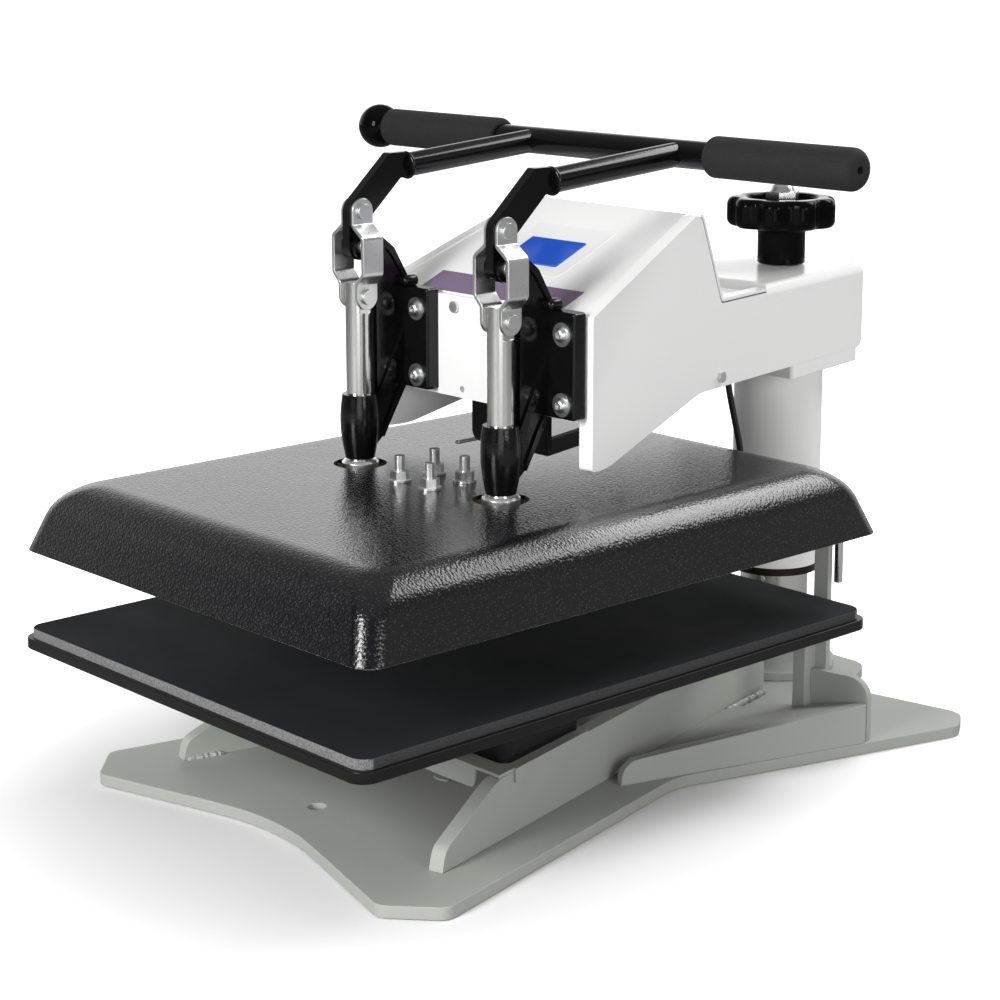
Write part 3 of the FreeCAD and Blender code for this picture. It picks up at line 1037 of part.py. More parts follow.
# Heater lead: straight runs joined by tangent arcs, from the deck down to the gland.
lead_points = [(268, 0), (268.6, 322), (270.8, 288), (280, 256), (288.5, 229), (290, 213),
               (284.5, 203), (0, 0)]
top_z = size("arm_back_z") - size("console_drop") - size("console_sheet")
lead_points[0] = (268, top_z - size("lead_gap"))
lead_points[-1] = (size("gland_y"), size("gland_z"))
route = [FreeCAD.Vector(size("lead_x"), y, z) for y, z in lead_points]
edges = []
start = route[0]
for before, corner, after in zip(route, route[1:], route[2:]):
    back_way = (before - corner)
    on_way = (after - corner)
    turn = FreeCAD.Vector(back_way).getAngle(on_way)
    half_turn = (math.pi - turn) / 2
    cut = 0.45 * min(back_way.Length, on_way.Length)
    first = corner + FreeCAD.Vector(back_way).normalize() * cut
    last = corner + FreeCAD.Vector(on_way).normalize() * cut
    middle_way = (first + last) * 0.5 - corner
    radius = cut / math.tan(half_turn)
    gap = (radius ** 2 + cut ** 2) ** 0.5 - radius
    middle = corner + middle_way.normalize() * gap
    print("lead radius", round(radius, 1))
    edges.append(Part.LineSegment(start, first).toShape())
    edges.append(Part.Arc(first, middle, last).toShape())
    start = last
edges.append(Part.LineSegment(start, route[-1]).toShape())
path = Part.Wire(edges)
ring_edge = Part.Circle(route[0], route[1] - route[0], size("lead_d") / 2).toShape()
lead = doc.addObject("Part::Feature", "lead_solid")
lead.Shape = path.makePipeShell([Part.Wire([ring_edge])], True, True)
lead.Placement = FreeCAD.Placement()
area = math.pi * (size("lead_d") / 2) ** 2
print("lead volume against section times length", lead.Shape.Volume / (area * path.Length))
node("heater_lead", lead)

doc.recompute()
for made in doc.Objects:
    if "Invalid" in made.State or "Error" in made.State:
        raise RuntimeError("%s failed: %s" % (made.Name, made.State))
os.makedirs("parts", exist_ok=True)
for made in NODES:
    shape = made.Shape
    if shape.isNull() or not shape.isValid() or not shape.Solids:
        raise RuntimeError("%s has no sound shape" % made.Label)
for made in NODES:
    made.Shape.exportStep("parts/%s.step" % made.Label)
    box_size = made.Shape.BoundBox
    print("%-20s %2d %10.0f  %7.1f %7.1f  %7.1f %7.1f  %7.1f %7.1f" % (
        made.Label, len(made.Shape.Solids), made.Shape.Volume, box_size.XMin, box_size.XMax,
        box_size.YMin, box_size.YMax, box_size.ZMin, box_size.ZMax))
print(len(NODES), "nodes")
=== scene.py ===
"""Swing-away heat press: finishes, soft parts, small detail, floor, light and camera."""
import json
import math

import bmesh
import bpy
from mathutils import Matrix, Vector

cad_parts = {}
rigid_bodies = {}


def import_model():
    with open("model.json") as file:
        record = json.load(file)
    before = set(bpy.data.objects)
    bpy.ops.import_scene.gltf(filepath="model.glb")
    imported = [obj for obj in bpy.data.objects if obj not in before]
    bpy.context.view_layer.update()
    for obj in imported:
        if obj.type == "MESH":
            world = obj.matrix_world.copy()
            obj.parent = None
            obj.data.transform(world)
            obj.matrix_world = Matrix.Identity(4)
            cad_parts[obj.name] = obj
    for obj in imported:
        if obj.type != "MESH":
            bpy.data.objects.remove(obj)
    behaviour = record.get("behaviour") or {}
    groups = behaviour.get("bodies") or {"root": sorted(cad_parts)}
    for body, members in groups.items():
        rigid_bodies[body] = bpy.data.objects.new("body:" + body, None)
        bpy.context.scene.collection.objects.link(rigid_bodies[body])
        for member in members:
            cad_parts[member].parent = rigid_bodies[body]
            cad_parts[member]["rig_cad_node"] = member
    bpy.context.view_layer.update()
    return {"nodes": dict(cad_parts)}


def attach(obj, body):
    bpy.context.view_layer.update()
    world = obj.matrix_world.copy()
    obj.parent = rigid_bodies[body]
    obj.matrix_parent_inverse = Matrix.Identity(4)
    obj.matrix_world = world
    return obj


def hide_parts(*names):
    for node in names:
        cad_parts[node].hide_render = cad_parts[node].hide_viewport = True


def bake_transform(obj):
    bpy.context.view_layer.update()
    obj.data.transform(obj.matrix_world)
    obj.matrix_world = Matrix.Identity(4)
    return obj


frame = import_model()

bl_info = {
    "name": "Swing-Away Heat Press",
    "version": (1, 0, 0),
    "blender": (4, 5, 0),
    "location": "3D Viewport > Sidebar > Heat Press",
    "description": "Dresses the packed frame of a swing-away heat press",
    "category": "Add Mesh",
}

MM = 0.001
TINY = 1e-5


def floats(label, text, value, **extra):
    """A float property with its name, description and default."""
    return bpy.props.FloatProperty(name=label, description=text, default=value, **extra)


def length(label, text, millimetres):
    """A length property, given in millimetres and kept in metres."""
    return floats(label, text, millimetres * MM, unit="LENGTH", precision=5)


def colour(label, text, value):
    """A colour property, in linear red, green and blue."""
    return bpy.props.FloatVectorProperty(name=label, description=text, default=value,
                                         size=3, subtype="COLOR", min=0.0, max=1.0)


class FinishColours(bpy.types.PropertyGroup):
    """Colours of the press's paints, metals, plastics and soft parts."""
    base: colour("Base paint", "Grey-green paint of the base", (0.40, 0.41, 0.38))
    arm: colour("Arm paint", "Gloss white of the arm and console", (0.88, 0.88, 0.875))
    black: colour("Black paint", "Gloss black of the levers and brackets", (0.0035, 0.0035, 0.004))
    cover: colour("Cover paint", "Black grained paint of the cover", (0.004, 0.004, 0.005))
    zinc: colour("Zinc", "Bright zinc plating", (0.70, 0.71, 0.70))
    steel: colour("Ground steel", "Ground shafts and plungers", (0.62, 0.62, 0.61))
    pad: colour("Pad skin", "Dark skin of the silicone pad", (0.016, 0.017, 0.019))
    sponge: colour("Pad edge", "Cut sponge edge of the pad", (0.20, 0.20, 0.20))
    display: colour("Display", "Face of the display", (0.014, 0.092, 0.55))
    band: colour("Console band", "Plain band across the console", (0.18, 0.125, 0.21))


class CoverSizes(bpy.types.PropertyGroup):
    """Shape of the moulded cover over the heat platen."""
    round_edge: length("Top rounding", "Radius where the wall turns into the top", 36)
    corner: length("Corner", "Radius of the upright corners", 16)
    wall: length("Wall", "Thickness of the cover", 3)
    flare: floats("Flare", "Lean of the walls", math.radians(20), subtype="ANGLE")
    hole: length("Plunger hole", "Width of the holes round the plunger feet", 42)


class PadSizes(bpy.types.PropertyGroup):
    """Shape of the silicone pad."""
    corner: length("Corner", "Radius of the pad's corners", 12)
    edge: length("Edge", "Softness of the pad's top edge", 1.3)


class GripSizes(bpy.types.PropertyGroup):
    """Shape of the foam grips."""
    outer_round: length("Outer end", "Rounding of the end of a grip", 8)
    inner_round: length("Inner end", "Rounding where a grip starts", 4)
    hole: length("Vent", "Width of the hole in the end", 6)


class KnobSizes(bpy.types.PropertyGroup):
    """Shape of the lobed knob."""
    rim: length("Rim rounding", "Rounding of the rim", 6.5)
    recess: length("Recess", "Width of the recess in the top", 60)
    scallop: length("Scallop", "Depth of the scallops between the lobes", 6)
    lobes: bpy.props.IntProperty(name="Lobes", description="Number of lobes", default=9, min=3)


class StageSettings(bpy.types.PropertyGroup):
    """Floor and light."""
    key_power: floats("Key power", "Power of the front softbox", 72.0, subtype="POWER")
    low_power: floats("Low power", "Power of the low softbox beside the camera", 11.0,
                      subtype="POWER")
    right_power: floats("Right power", "Power of the softbox at the right", 17.0,
                        subtype="POWER")
    back_power: floats("Back power", "Power of the softbox behind and above", 40.0,
                       subtype="POWER")
    sky: floats("Surround", "Strength of the surround in the reflections", 1.0, min=0.0)


# Hand work: small steps that stand for what is done in edit mode.

def object_mode():
    """Leaves edit mode with nothing selected."""
    if bpy.context.mode != "OBJECT":
        bpy.ops.object.mode_set(mode="OBJECT")
    bpy.ops.object.select_all(action="DESELECT")


def fresh(name, primitive, **settings):
    """Adds a primitive at its place and names it."""
    object_mode()
    getattr(bpy.ops.mesh, "primitive_%s_add" % primitive)(**settings)
    piece = bpy.context.object
    piece.name = name
    piece.data.name = name
    bpy.ops.object.transform_apply(location=True, rotation=True, scale=True)
    return piece


def choose(piece):
    """Makes a piece the only selected and the active one, in object mode."""
    object_mode()
    piece.select_set(True)
    bpy.context.view_layer.objects.active = piece


def apply_place(piece):
    """Works a piece's place, turn and size into its mesh."""
    choose(piece)
    bpy.ops.object.transform_apply(location=True, rotation=True, scale=True)


def sized(name, primitive, size, place):
    """Adds a unit plane or cube, and gives it a size and a place in metres."""
    piece = fresh(name, primitive, size=1.0)
    piece.scale = size
    piece.location = place
    apply_place(piece)
    return piece


def enter(piece, kind="FACE"):
    """Opens a piece in edit mode with nothing selected."""
    choose(piece)
    bpy.ops.object.mode_set(mode="EDIT")
    bpy.ops.mesh.select_mode(type=kind)
    bpy.ops.mesh.select_all(action="DESELECT")


def pick(piece, test, kind="FACE"):
    """Selects the faces, edges or corners of an open piece that pass a test."""
    bpy.ops.mesh.select_mode(type=kind)
    bpy.ops.mesh.select_all(action="DESELECT")
    mesh = bmesh.from_edit_mesh(piece.data)
    mesh.normal_update()
    found = {"FACE": mesh.faces, "EDGE": mesh.edges, "VERT": mesh.verts}[kind]
    for item in found:
        if test(item):
            item.select_set(True)
    mesh.select_flush_mode()
    bmesh.update_edit_mesh(piece.data)


def pick_all():
    """Selects everything in the open piece."""
    bpy.ops.mesh.select_all(action="SELECT")


def pull(step):
    """Extrudes the selection by a step."""
    bpy.ops.mesh.extrude_region_move(TRANSFORM_OT_translate={"value": step})


def middle(edge):
    """Middle point of an edge."""
    return (edge.verts[0].co + edge.verts[1].co) / 2


def grow(step, factor, centre):
    """Extrudes the selection by a step and scales it about a centre."""
    pull(step)
    bpy.ops.transform.resize(value=factor, center_override=centre)


def closed(piece, angle=35.0):
    """Merges doubles, turns the normals out, shades by angle and leaves edit mode."""
    enter(piece)
    pick_all()
    bpy.ops.mesh.remove_doubles(threshold=TINY)
    bpy.ops.mesh.normals_make_consistent(inside=False)
    apply_place(piece)
    bpy.ops.object.shade_smooth_by_angle(angle=math.radians(angle))
    object_mode()
    return piece


def apply_modifier(piece, kind, **settings):
    """Adds one modifier to a piece and applies it."""
    choose(piece)
    added = piece.modifiers.new(kind.title(), kind)
    for key, value in settings.items():
        setattr(added, key, value)
    bpy.ops.object.modifier_apply(modifier=added.name)


def soften(piece, width, segments, limit, before, after):
    """Closes a piece, bevels its sharp edges and closes it again; the angles are in degrees."""
    closed(piece, before)
    apply_modifier(piece, "BEVEL", width=width, segments=segments, limit_method="ANGLE",
                   angle_limit=math.radians(limit))
    closed(piece, after)


def cut(piece, cutters):
    """Cuts the cutters out of a piece and removes them."""
    for cutter in cutters:
        apply_modifier(piece, "BOOLEAN", object=cutter, operation="DIFFERENCE", solver="EXACT")
        bpy.data.objects.remove(cutter)


def placed_copy(piece, name, shift):
    """A copy of a finished piece with its own mesh, moved in its mesh."""
    twin = piece.copy()
    twin.data = piece.data.copy()
    twin.name = name
    twin.data.name = name
    bpy.context.scene.collection.objects.link(twin)
    for corner in twin.data.vertices:
        corner.co += Vector(shift)
    return twin


def join(name, pieces):
    """Joins pieces into one."""
    object_mode()
    for piece in pieces:
        piece.select_set(True)
    bpy.context.view_layer.objects.active = pieces[0]
    if len(pieces) > 1:
        bpy.ops.object.join()
    pieces[0].name = name
    pieces[0].data.name = name
    object_mode()
    return pieces[0]


def drawn_round(name, start, along, stations, sides=48):
    """A round piece drawn out of a circle: stations are (distance, radius) along an axis."""
    along = Vector(along).normalized()
    turn = Vector((0, 0, 1)).rotation_difference(along).to_euler()
    place = Vector(start) + along * stations[0][0]
    piece = fresh(name, "circle", vertices=sides, radius=max(stations[0][1], 1e-4),
                  fill_type="NGON", location=place, rotation=turn)
    enter(piece)
    pick_all()
    for (was, radius), (now, wide) in zip(stations, stations[1:]):
        factor = max(wide, 1e-4) / max(radius, 1e-4)
        centre = Vector(start) + along * now
        grow(along * (now - was), (factor, factor, factor), centre)
    return closed(piece)


# Shader work: nodes are put in a tree, and values or sockets are fed to them.

class Wiring:
    """Places shader nodes in one tree."""

    def __init__(self, tree):
        self.tree = tree

    def put(self, kind, settings=None, **sockets):
        """Adds a node, sets it and feeds its inputs by name."""
        node = self.tree.nodes.new("ShaderNode" + kind)
        for key, value in (settings or {}).items():
            setattr(node, key, value)
        self.fill(node, **sockets)
        return node

    def fill(self, node, **sockets):
        """Feeds a node's inputs by name."""
        for key, value in sockets.items():
            self.feed(node.inputs[key.replace("_", " ")], value)

    def feed(self, socket, value):
        """Links a socket, or sets its own value."""
        if isinstance(value, bpy.types.NodeSocket):
            self.tree.links.new(value, socket)
        else:
            socket.default_value = value

    def noise(self, where, scale, detail, roughness=0.5, **more):
        """A Noise Texture's value."""
        node = self.put("TexNoise", None, Vector=where, Scale=scale, Detail=detail,
                        Roughness=roughness, **more)
        return node.outputs["Fac"]

    def sums(self, operation, *values):
        """A Math node's result."""
        node = self.put("Math", {"operation": operation})
        for socket, value in zip(node.inputs, values):
            self.feed(socket, value)
        return node.outputs[0]

    def span(self, value, low, high, lowest=0.0, highest=1.0):
        """Maps a value from one range to another."""
        node = self.put("MapRange", None, Value=value, From_Min=low, From_Max=high,
                        To_Min=lowest, To_Max=highest)
        return node.outputs["Result"]

    def smooth(self, value, low, high):
        """Rises softly from 0 to 1 between two values."""
        if low > high:
            return self.sums("SUBTRACT", 1.0, self.smooth(value, high, low))
        node = self.put("MapRange", {"interpolation_type": "SMOOTHSTEP"}, Value=value,
                        From_Min=low, From_Max=high)
        return node.outputs["Result"]

    def blend_of(self, factor, first, second):
        """Mixes two colours."""
        node = self.put("Mix", {"data_type": "RGBA"})
        self.feed(node.inputs["Factor"], factor)
        colours = [socket for socket in node.inputs if socket.type == "RGBA"]
        for socket, value in zip(colours, (first, second)):
            self.feed(socket, value if isinstance(value, bpy.types.NodeSocket) else solid(value))
        return next(socket for socket in node.outputs if socket.type == "RGBA")


def shader_group(name, takes, gives):
    """A new shader node group with named inputs and outputs."""
    tree = bpy.data.node_groups.new(name, "ShaderNodeTree")
    for label, value in takes:
        kind = "NodeSocketFloat" if isinstance(value, (int, float)) else (
            "NodeSocketColor" if len(value) == 4 else "NodeSocketVector")
        tree.interface.new_socket(label, in_out="INPUT", socket_type=kind).default_value = value
    for label, kind in gives:
        tree.interface.new_socket(label, in_out="OUTPUT", socket_type="NodeSocket" + kind)
    work = Wiring(tree)
    entry = work.put("TexCoord")
    taken = tree.nodes.new("NodeGroupInput")
    given = tree.nodes.new("NodeGroupOutput")
    return work, entry.outputs["Object"], taken.outputs, given.inputs


def build_groups():
    """The shared effects: grain, tone, lines, pores and dust."""
    work, where, taken, given = shader_group(
        "Orange Peel", [("Scale", 300.0), ("Fine", 0.4)], [("Height", "Float")])
    broad = work.noise(where, taken["Scale"], 2.0, 0.45)
    small = work.noise(where, work.sums("MULTIPLY", taken["Scale"], 3.1), 1.0)
    fine = work.sums("MULTIPLY", small, taken["Fine"])
    work.feed(given["Height"], work.sums("ADD", broad, fine))

    work, where, taken, given = shader_group(
        "Pebble Grain", [("Scale", 700.0), ("Sharpness", 0.5)],
        [("Height", "Float"), ("Mask", "Float")])
    warp = work.put("TexNoise", None, Vector=where, Detail=2.0,
                    Scale=work.sums("MULTIPLY", taken["Scale"], 0.6))
    shaken = work.put("VectorMath", {"operation": "MULTIPLY_ADD"})
    work.feed(shaken.inputs[0], warp.outputs["Color"])
    work.feed(shaken.inputs[1], (0.0004, 0.0004, 0.0004))
    work.feed(shaken.inputs[2], where)
    cells = work.put("TexVoronoi", {"feature": "SMOOTH_F1"}, Vector=shaken.outputs[0],
                     Scale=taken["Scale"], Smoothness=0.5)
    grit = work.noise(where, work.sums("MULTIPLY", taken["Scale"], 1.7), 3.0, 0.6)
    dome = work.sums("SUBTRACT", 1.0, cells.outputs["Distance"])
    rough = work.sums("MULTIPLY", grit, taken["Sharpness"])
    height = work.sums("ADD", dome, rough)
    work.feed(given["Height"], height)
    # Mask: the pebble tops, which the paint lightens as painted glints.
    work.feed(given["Mask"], work.smooth(height, 0.88, 1.06))

    work, where, taken, given = shader_group(
        "Tone Drift", [("First", (0.5, 0.5, 0.5, 1.0)), ("Second", (0.4, 0.4, 0.4, 1.0)),
                       ("Scale", 9.0), ("Speckle", 0.15)],
        [("Color", "Color"), ("Drift", "Float")])
    cloud = work.noise(where, taken["Scale"], 4.0, 0.6, Distortion=0.3)
    speck = work.sums("SUBTRACT", work.noise(where, 1400.0, 2.0), 0.5)
    specks = work.sums("MULTIPLY", speck, taken["Speckle"])
    drift = work.sums("ADD", work.span(cloud, 0.32, 0.68), specks)
    work.feed(given["Color"], work.blend_of(drift, taken["First"], taken["Second"]))
    work.feed(given["Drift"], drift)

    work, where, taken, given = shader_group(
        "Drawn Lines", [("Stretch", (1.0, 1.0, 1.0)), ("Scale", 900.0)],
        [("Height", "Float"), ("Tone", "Float")])
    pulled = work.put("VectorMath", {"operation": "MULTIPLY"})
    work.feed(pulled.inputs[0], where)
    work.feed(pulled.inputs[1], taken["Stretch"])
    lines = work.noise(pulled.outputs[0], taken["Scale"], 3.0, 0.65)
    work.feed(given["Height"], lines)
    work.feed(given["Tone"], work.span(lines, 0.3, 0.7))

    work, where, taken, given = shader_group(
        "Sponge Pores", [("Scale", 900.0), ("Depth", 1.0)],
        [("Height", "Float"), ("Mask", "Float")])
    pores = work.put("TexVoronoi", {"feature": "F1"}, Vector=where, Scale=taken["Scale"],
                     Randomness=1.0)
    blotch = work.noise(where, work.sums("MULTIPLY", taken["Scale"], 0.45), 3.0)
    open_cell = work.span(pores.outputs["Distance"], 0.18, 0.5)
    sunk = work.sums("MULTIPLY", open_cell, taken["Depth"])
    work.feed(given["Height"], work.sums("ADD", sunk, blotch))
    work.feed(given["Mask"],
              work.sums("MULTIPLY", open_cell, work.span(blotch, 0.25, 0.6, 0.5, 1.0)))

    work, where, taken, given = shader_group(
        "Settled Dust", [("Color", (0.5, 0.5, 0.5, 1.0)), ("Dust", (0.5, 0.5, 0.48, 1.0)),
                         ("Amount", 0.1)], [("Color", "Color"), ("Mask", "Float")])
    facing = work.put("NewGeometry")
    axes = work.put("SeparateXYZ", None, Vector=facing.outputs["Normal"])
    upward = work.span(axes.outputs["Z"], 0.5, 1.0)
    drift = work.noise(where, 38.0, 6.0, 0.7)
    settled = work.sums("MULTIPLY", upward, work.span(drift, 0.38, 0.75))
    mask = work.sums("MULTIPLY", settled, taken["Amount"])
    work.feed(given["Color"], work.blend_of(mask, taken["Color"], taken["Dust"]))
    work.feed(given["Mask"], mask)


def new_material(name):
    """An empty material with its shader, its wiring and a hand for placing groups."""
    material = bpy.data.materials.new("press_" + name)
    material.use_nodes = True
    work = Wiring(material.node_tree)
    shader = material.node_tree.nodes["Principled BSDF"]

    def placed(group, **values):
        return work.put("Group", {"node_tree": bpy.data.node_groups[group]}, **values).outputs

    return material, work, shader, placed


def solid(value):
    """A colour with its alpha."""
    return (*value[:3], 1.0)


def shade(value, factor):
    """A lighter or darker colour."""
    return tuple(min(1.0, part * factor) for part in value[:3])


def paint(name, tone, roughness, grain, depth, peel=(320.0, 0.4), coat=0.0, dust=0.0,
          drift=0.94, gloss=0.5, pebble=None):
    """A sprayed paint with orange peel or grain, a slow change of tone and a little dust; with
    pebble grain, the pebble tops are painted lighter and glossier as painted glints.
    """
    material, work, shader, placed = new_material(name)
    cloud = placed("Tone Drift", First=solid(tone), Second=solid(shade(tone, drift)),
                   Scale=7.0, Speckle=grain)
    dusty = placed("Settled Dust", Color=cloud["Color"],
                   Dust=solid((0.42, 0.42, 0.40)), Amount=dust)
    if pebble:
        bumps = placed("Pebble Grain", Scale=pebble[0], Sharpness=pebble[1])
    else:
        bumps = placed("Orange Peel", Scale=peel[0], Fine=peel[1])
    bump = work.put("Bump", None, Height=bumps["Height"], Strength=depth[1], Distance=depth[0])
    colour_now = dusty["Color"]
    shine = work.span(cloud["Drift"], 0.0, 1.0, roughness * 0.92, roughness * 1.12)
    # Painted highlight: the pebble tops are lightened towards the given colour as painted glints
    # on the grain, and their roughness is lowered.
    if pebble:
        colour_now = work.blend_of(bumps["Mask"], colour_now, pebble[2])
        shine = work.sums("ADD", shine, work.span(bumps["Mask"], 0.0, 1.0, pebble[3], 0.0))
    work.fill(shader, Base_Color=colour_now, Roughness=shine, Normal=bump.outputs["Normal"],
              Specular_IOR_Level=gloss, Coat_Weight=coat, Coat_Roughness=0.08)
    return material


def metal(name, tone, roughness, stretch, scale, depth, spread=0.25, drift=0.86, blotch=16.0):
    """A plated, turned or ground metal with fine lines."""
    material, work, shader, placed = new_material(name)
    cloud = placed("Tone Drift", First=solid(tone), Second=solid(shade(tone, drift)),
                   Scale=blotch, Speckle=0.3)
    lines = placed("Drawn Lines", Stretch=stretch, Scale=scale)
    bump = work.put("Bump", None, Height=lines["Height"], Strength=0.35, Distance=depth)
    mixed = work.sums("ADD", work.sums("MULTIPLY", lines["Tone"], 0.6),
                      work.sums("MULTIPLY", cloud["Drift"], 0.4))
    shine = work.span(mixed, 0.0, 1.0, roughness * (1 - spread), roughness * (1 + spread))
    work.fill(shader, Base_Color=cloud["Color"], Roughness=shine,
              Normal=bump.outputs["Normal"], Metallic=1.0)
    return material


def foam(name, tone, roughness, scale, depth, contrast, gloss=0.5):
    """Foam or cut sponge: open pores darker than the skin between them."""
    material, work, shader, placed = new_material(name)
    pores = placed("Sponge Pores", Scale=scale, Depth=1.0)
    skin = work.blend_of(pores["Mask"], shade(tone, contrast), tone)
    cloud = placed("Tone Drift", First=skin, Second=solid(shade(tone, 0.85)), Scale=20.0,
                   Speckle=0.4)
    soft = work.blend_of(work.span(cloud["Drift"], 0.0, 1.0, 0.1, 0.45), skin, cloud["Color"])
    bump = work.put("Bump", None, Height=pores["Height"], Strength=0.7, Distance=depth)
    shine = work.span(pores["Mask"], 0.0, 1.0, min(1.0, roughness * 1.1), roughness)
    work.fill(shader, Base_Color=soft, Roughness=shine, Normal=bump.outputs["Normal"],
              Specular_IOR_Level=gloss)
    return material


FINISHES = {}


def build_finishes(tones):
    """Every finish of the press, by the name that the pieces use."""
    made = {
        "base": paint("base_paint", tones.base, 0.45, 0.10, (0.00006, 0.30), gloss=0.2),
        "arm": paint("arm_paint", tones.arm, 0.24, 0.04, (0.00005, 0.18), (260.0, 0.2),
                     coat=0.2, drift=0.985),
        "gloss_black": paint("gloss_black", tones.black, 0.13, 0.2, (0.00010, 0.22),
                             (230.0, 0.3), gloss=0.3),
        "satin_black": paint("satin_black", tones.black, 0.34, 0.2, (0.00006, 0.3),
                             (420.0, 0.5), gloss=0.25),
        "casting": paint("casting", tones.black, 0.15, 0.2, (0.00045, 0.30), (170.0, 0.5),
                         gloss=0.3),
        # The cover: pebble grain, with the pebble tops painted lighter (0.035) as painted glints.
        "cover": paint("cover_paint", tones.cover, 0.14, 0.2, (0.00034, 0.6),
                       gloss=0.43, pebble=(480.0, 0.35, (0.035, 0.035, 0.035), 0.06)),
        # A light grey on the cover's bottom edge: a painted highlight line along the rim.
        "rim": paint("cover_rim_painted_highlight", (0.55, 0.55, 0.54), 0.25, 0.9, (0.00010, 0.5), drift=0.3),
        "weld": paint("weld_paint", tones.base, 0.12, 0.10, (0.0004, 0.6), (420.0, 0.9)),
        "zinc": metal("zinc", tones.zinc, 0.32, (1.0, 1.0, 0.12), 900.0, 0.000008,
                      drift=0.95, blotch=30.0),
        "steel": metal("ground_steel", tones.steel, 0.2, (1.0, 1.0, 0.04), 1500.0, 0.00001,
                       drift=0.93),
        "turned": metal("turned_steel", tones.steel, 0.22, (0.05, 0.05, 1.0), 1600.0, 0.00002),
        "bronze": metal("bronze", (0.035, 0.028, 0.022), 0.4, (0.1, 0.1, 1.0), 900.0, 0.00002),
        "aluminium": metal("platen_metal", (0.66, 0.66, 0.65), 0.34, (1.0, 0.05, 1.0), 1100.0,
                           0.00002),
        "plastic": paint("black_plastic", (0.003, 0.003, 0.003), 0.08, 0.1, (0.00003, 0.12),
                         (180.0, 0.2), gloss=0.05),
        "matte": paint("matte_black", (0.010, 0.010, 0.010), 0.5, 0.3, (0.00005, 0.4),
                       (900.0, 0.6)),
        "pad": paint("pad_skin", tones.pad, 0.80, 0.35, (0.00004, 0.35), (1100.0, 0.7),
                     drift=0.85, gloss=0.12),
        "sponge": foam("pad_edge", tones.sponge, 0.85, 900.0, 0.0004, 0.28),
        # The same sponge, painted much darker: painted shade on the pad's left and right sides.
        "pad_side_painted_shade": foam("pad_side_painted_shade", (0.035, 0.035, 0.037), 0.8, 900.0, 0.0003, 0.5),
        "foam": foam("grip_foam", (0.020, 0.020, 0.021), 0.75, 1500.0, 0.00015, 0.5, 0.25),
        "blanket": foam("blanket", (0.52, 0.48, 0.38), 0.95, 500.0, 0.0003, 0.6),
        "board": paint("board", (0.02, 0.12, 0.04), 0.35, 0.2, (0.00003, 0.2), dust=0.05),
        "display": paint("display", tones.display, 0.16, 0.02, (0.00001, 0.1), (200.0, 0.1),
                         coat=0.3, drift=0.95),
        "band": paint("band", tones.band, 0.36, 0.04, (0.00002, 0.15), drift=0.97, gloss=0.3),
        "membrane": paint("membrane", (0.80, 0.80, 0.80), 0.33, 0.02, (0.00002, 0.2),
                          (900.0, 0.4), drift=0.99),
        "rubber": paint("lead_sheath", (0.010, 0.010, 0.010), 0.45, 0.2, (0.00004, 0.3),
                        (600.0, 0.4)),
    }
    FINISHES.update(made)


# CAD pieces that keep their own mesh: finish, and the width of their softened edges in mm.
NODE_FINISH = {
    "base": (("base_plate", 0.7), ("rib_left", 0.6), ("rib_right", 0.6), ("deck_left", 0.3),
             ("deck_right", 0.3), ("gusset_wall_left", 0.5), ("gusset_wall_right", 0.5),
             ("rear_wall_left", 0.5), ("rear_wall_right", 0.5), ("stop_post", 0.4),
             ("stop_post_brace", 0.4), ("cross_bracket", 0.4), ("post_socket", 0.5)),
    "satin_black": (("table_pedestal", 0.4), ("table_plate", 0.8),
                    ("lower_bracket", 0.6)),
    "gloss_black": (("lever_left", 0.5), ("lever_right", 0.5), ("handle_crossbar", 0.4)),
    "casting": (("toggle_body_left", 0.8), ("toggle_body_right", 0.8)),
    "arm": (("arm_side_left", 1.0), ("arm_side_right", 1.0), ("rear_box", 0.8),
            ("front_plate", 0.6), ("console_cover", 0.8), ("swing_sleeve", 0.5),
            ("saddle_plate", 0.6)),
    "zinc": (("table_bolts", 0.2), ("arm_screws", 0.15), ("toggle_bolts", 0.2),
             ("pivot_pins", 0.3), ("link_plates_left", 0.5), ("link_plates_right", 0.5),
             ("link_rivets_left", 0.4), ("link_rivets_right", 0.4), ("cover_studs", 0.2),
             ("heating_element", 0.3), ("thrust_bearing", 0.2), ("plunger_feet", 0.3)),
    "turned": (("knob_dome_nut", 0.3), ("lift_spindle", 0.2)),
    "steel": (("post_shaft", 0.3), ("plunger_left", 0.3), ("plunger_right", 0.3),
              ("swing_stop_rod", 0.3)),
    "bronze": (("sleeve_bushes", 0.3),),
    "aluminium": (("heat_platen", 0.5),),
    "plastic": (("handle_ball", 0.0),),
    "matte": (("power_inlet", 0.4), ("power_rocker", 0.4)),
    "board": (("control_board", 0.1),),
    "display": (("display_window", 0.2),),
}

# Pieces whose flat faces have openings: merged into one face, they would fill an opening.
KEEP_TRIANGLES = ("rear_box",)


def wear(piece, finish):
    """Puts a finish on a piece."""
    piece.data.materials.clear()
    piece.data.materials.append(FINISHES[finish])


def soften_node(node, width):
    """Welds a CAD piece's loose triangles, softens its edges and evens its shading."""
    piece = frame["nodes"][node]
    weld = piece.modifiers.new("Weld", "WELD")
    weld.merge_threshold = 2e-6
    if node not in KEEP_TRIANGLES:
        flat = piece.modifiers.new("Flat faces", "DECIMATE")
        flat.decimate_type = "DISSOLVE"
        flat.angle_limit = math.radians(0.2)
    if width:
        edge = piece.modifiers.new("Soft edges", "BEVEL")
        edge.width = width * MM
        edge.segments = 2
        edge.limit_method = "ANGLE"
        edge.angle_limit = math.radians(32)
        edge.miter_outer = "MITER_ARC"
        edge.use_clamp_overlap = True
    even = piece.modifiers.new("Even shading", "WEIGHTED_NORMAL")
    even.keep_sharp = False


def dress_nodes():
    """Finishes and softened edges for the CAD pieces that keep their mesh."""
    for finish, group in NODE_FINISH.items():
        for node, width in group:
            wear(frame["nodes"][node], finish)
            soften_node(node, width)


# Pieces

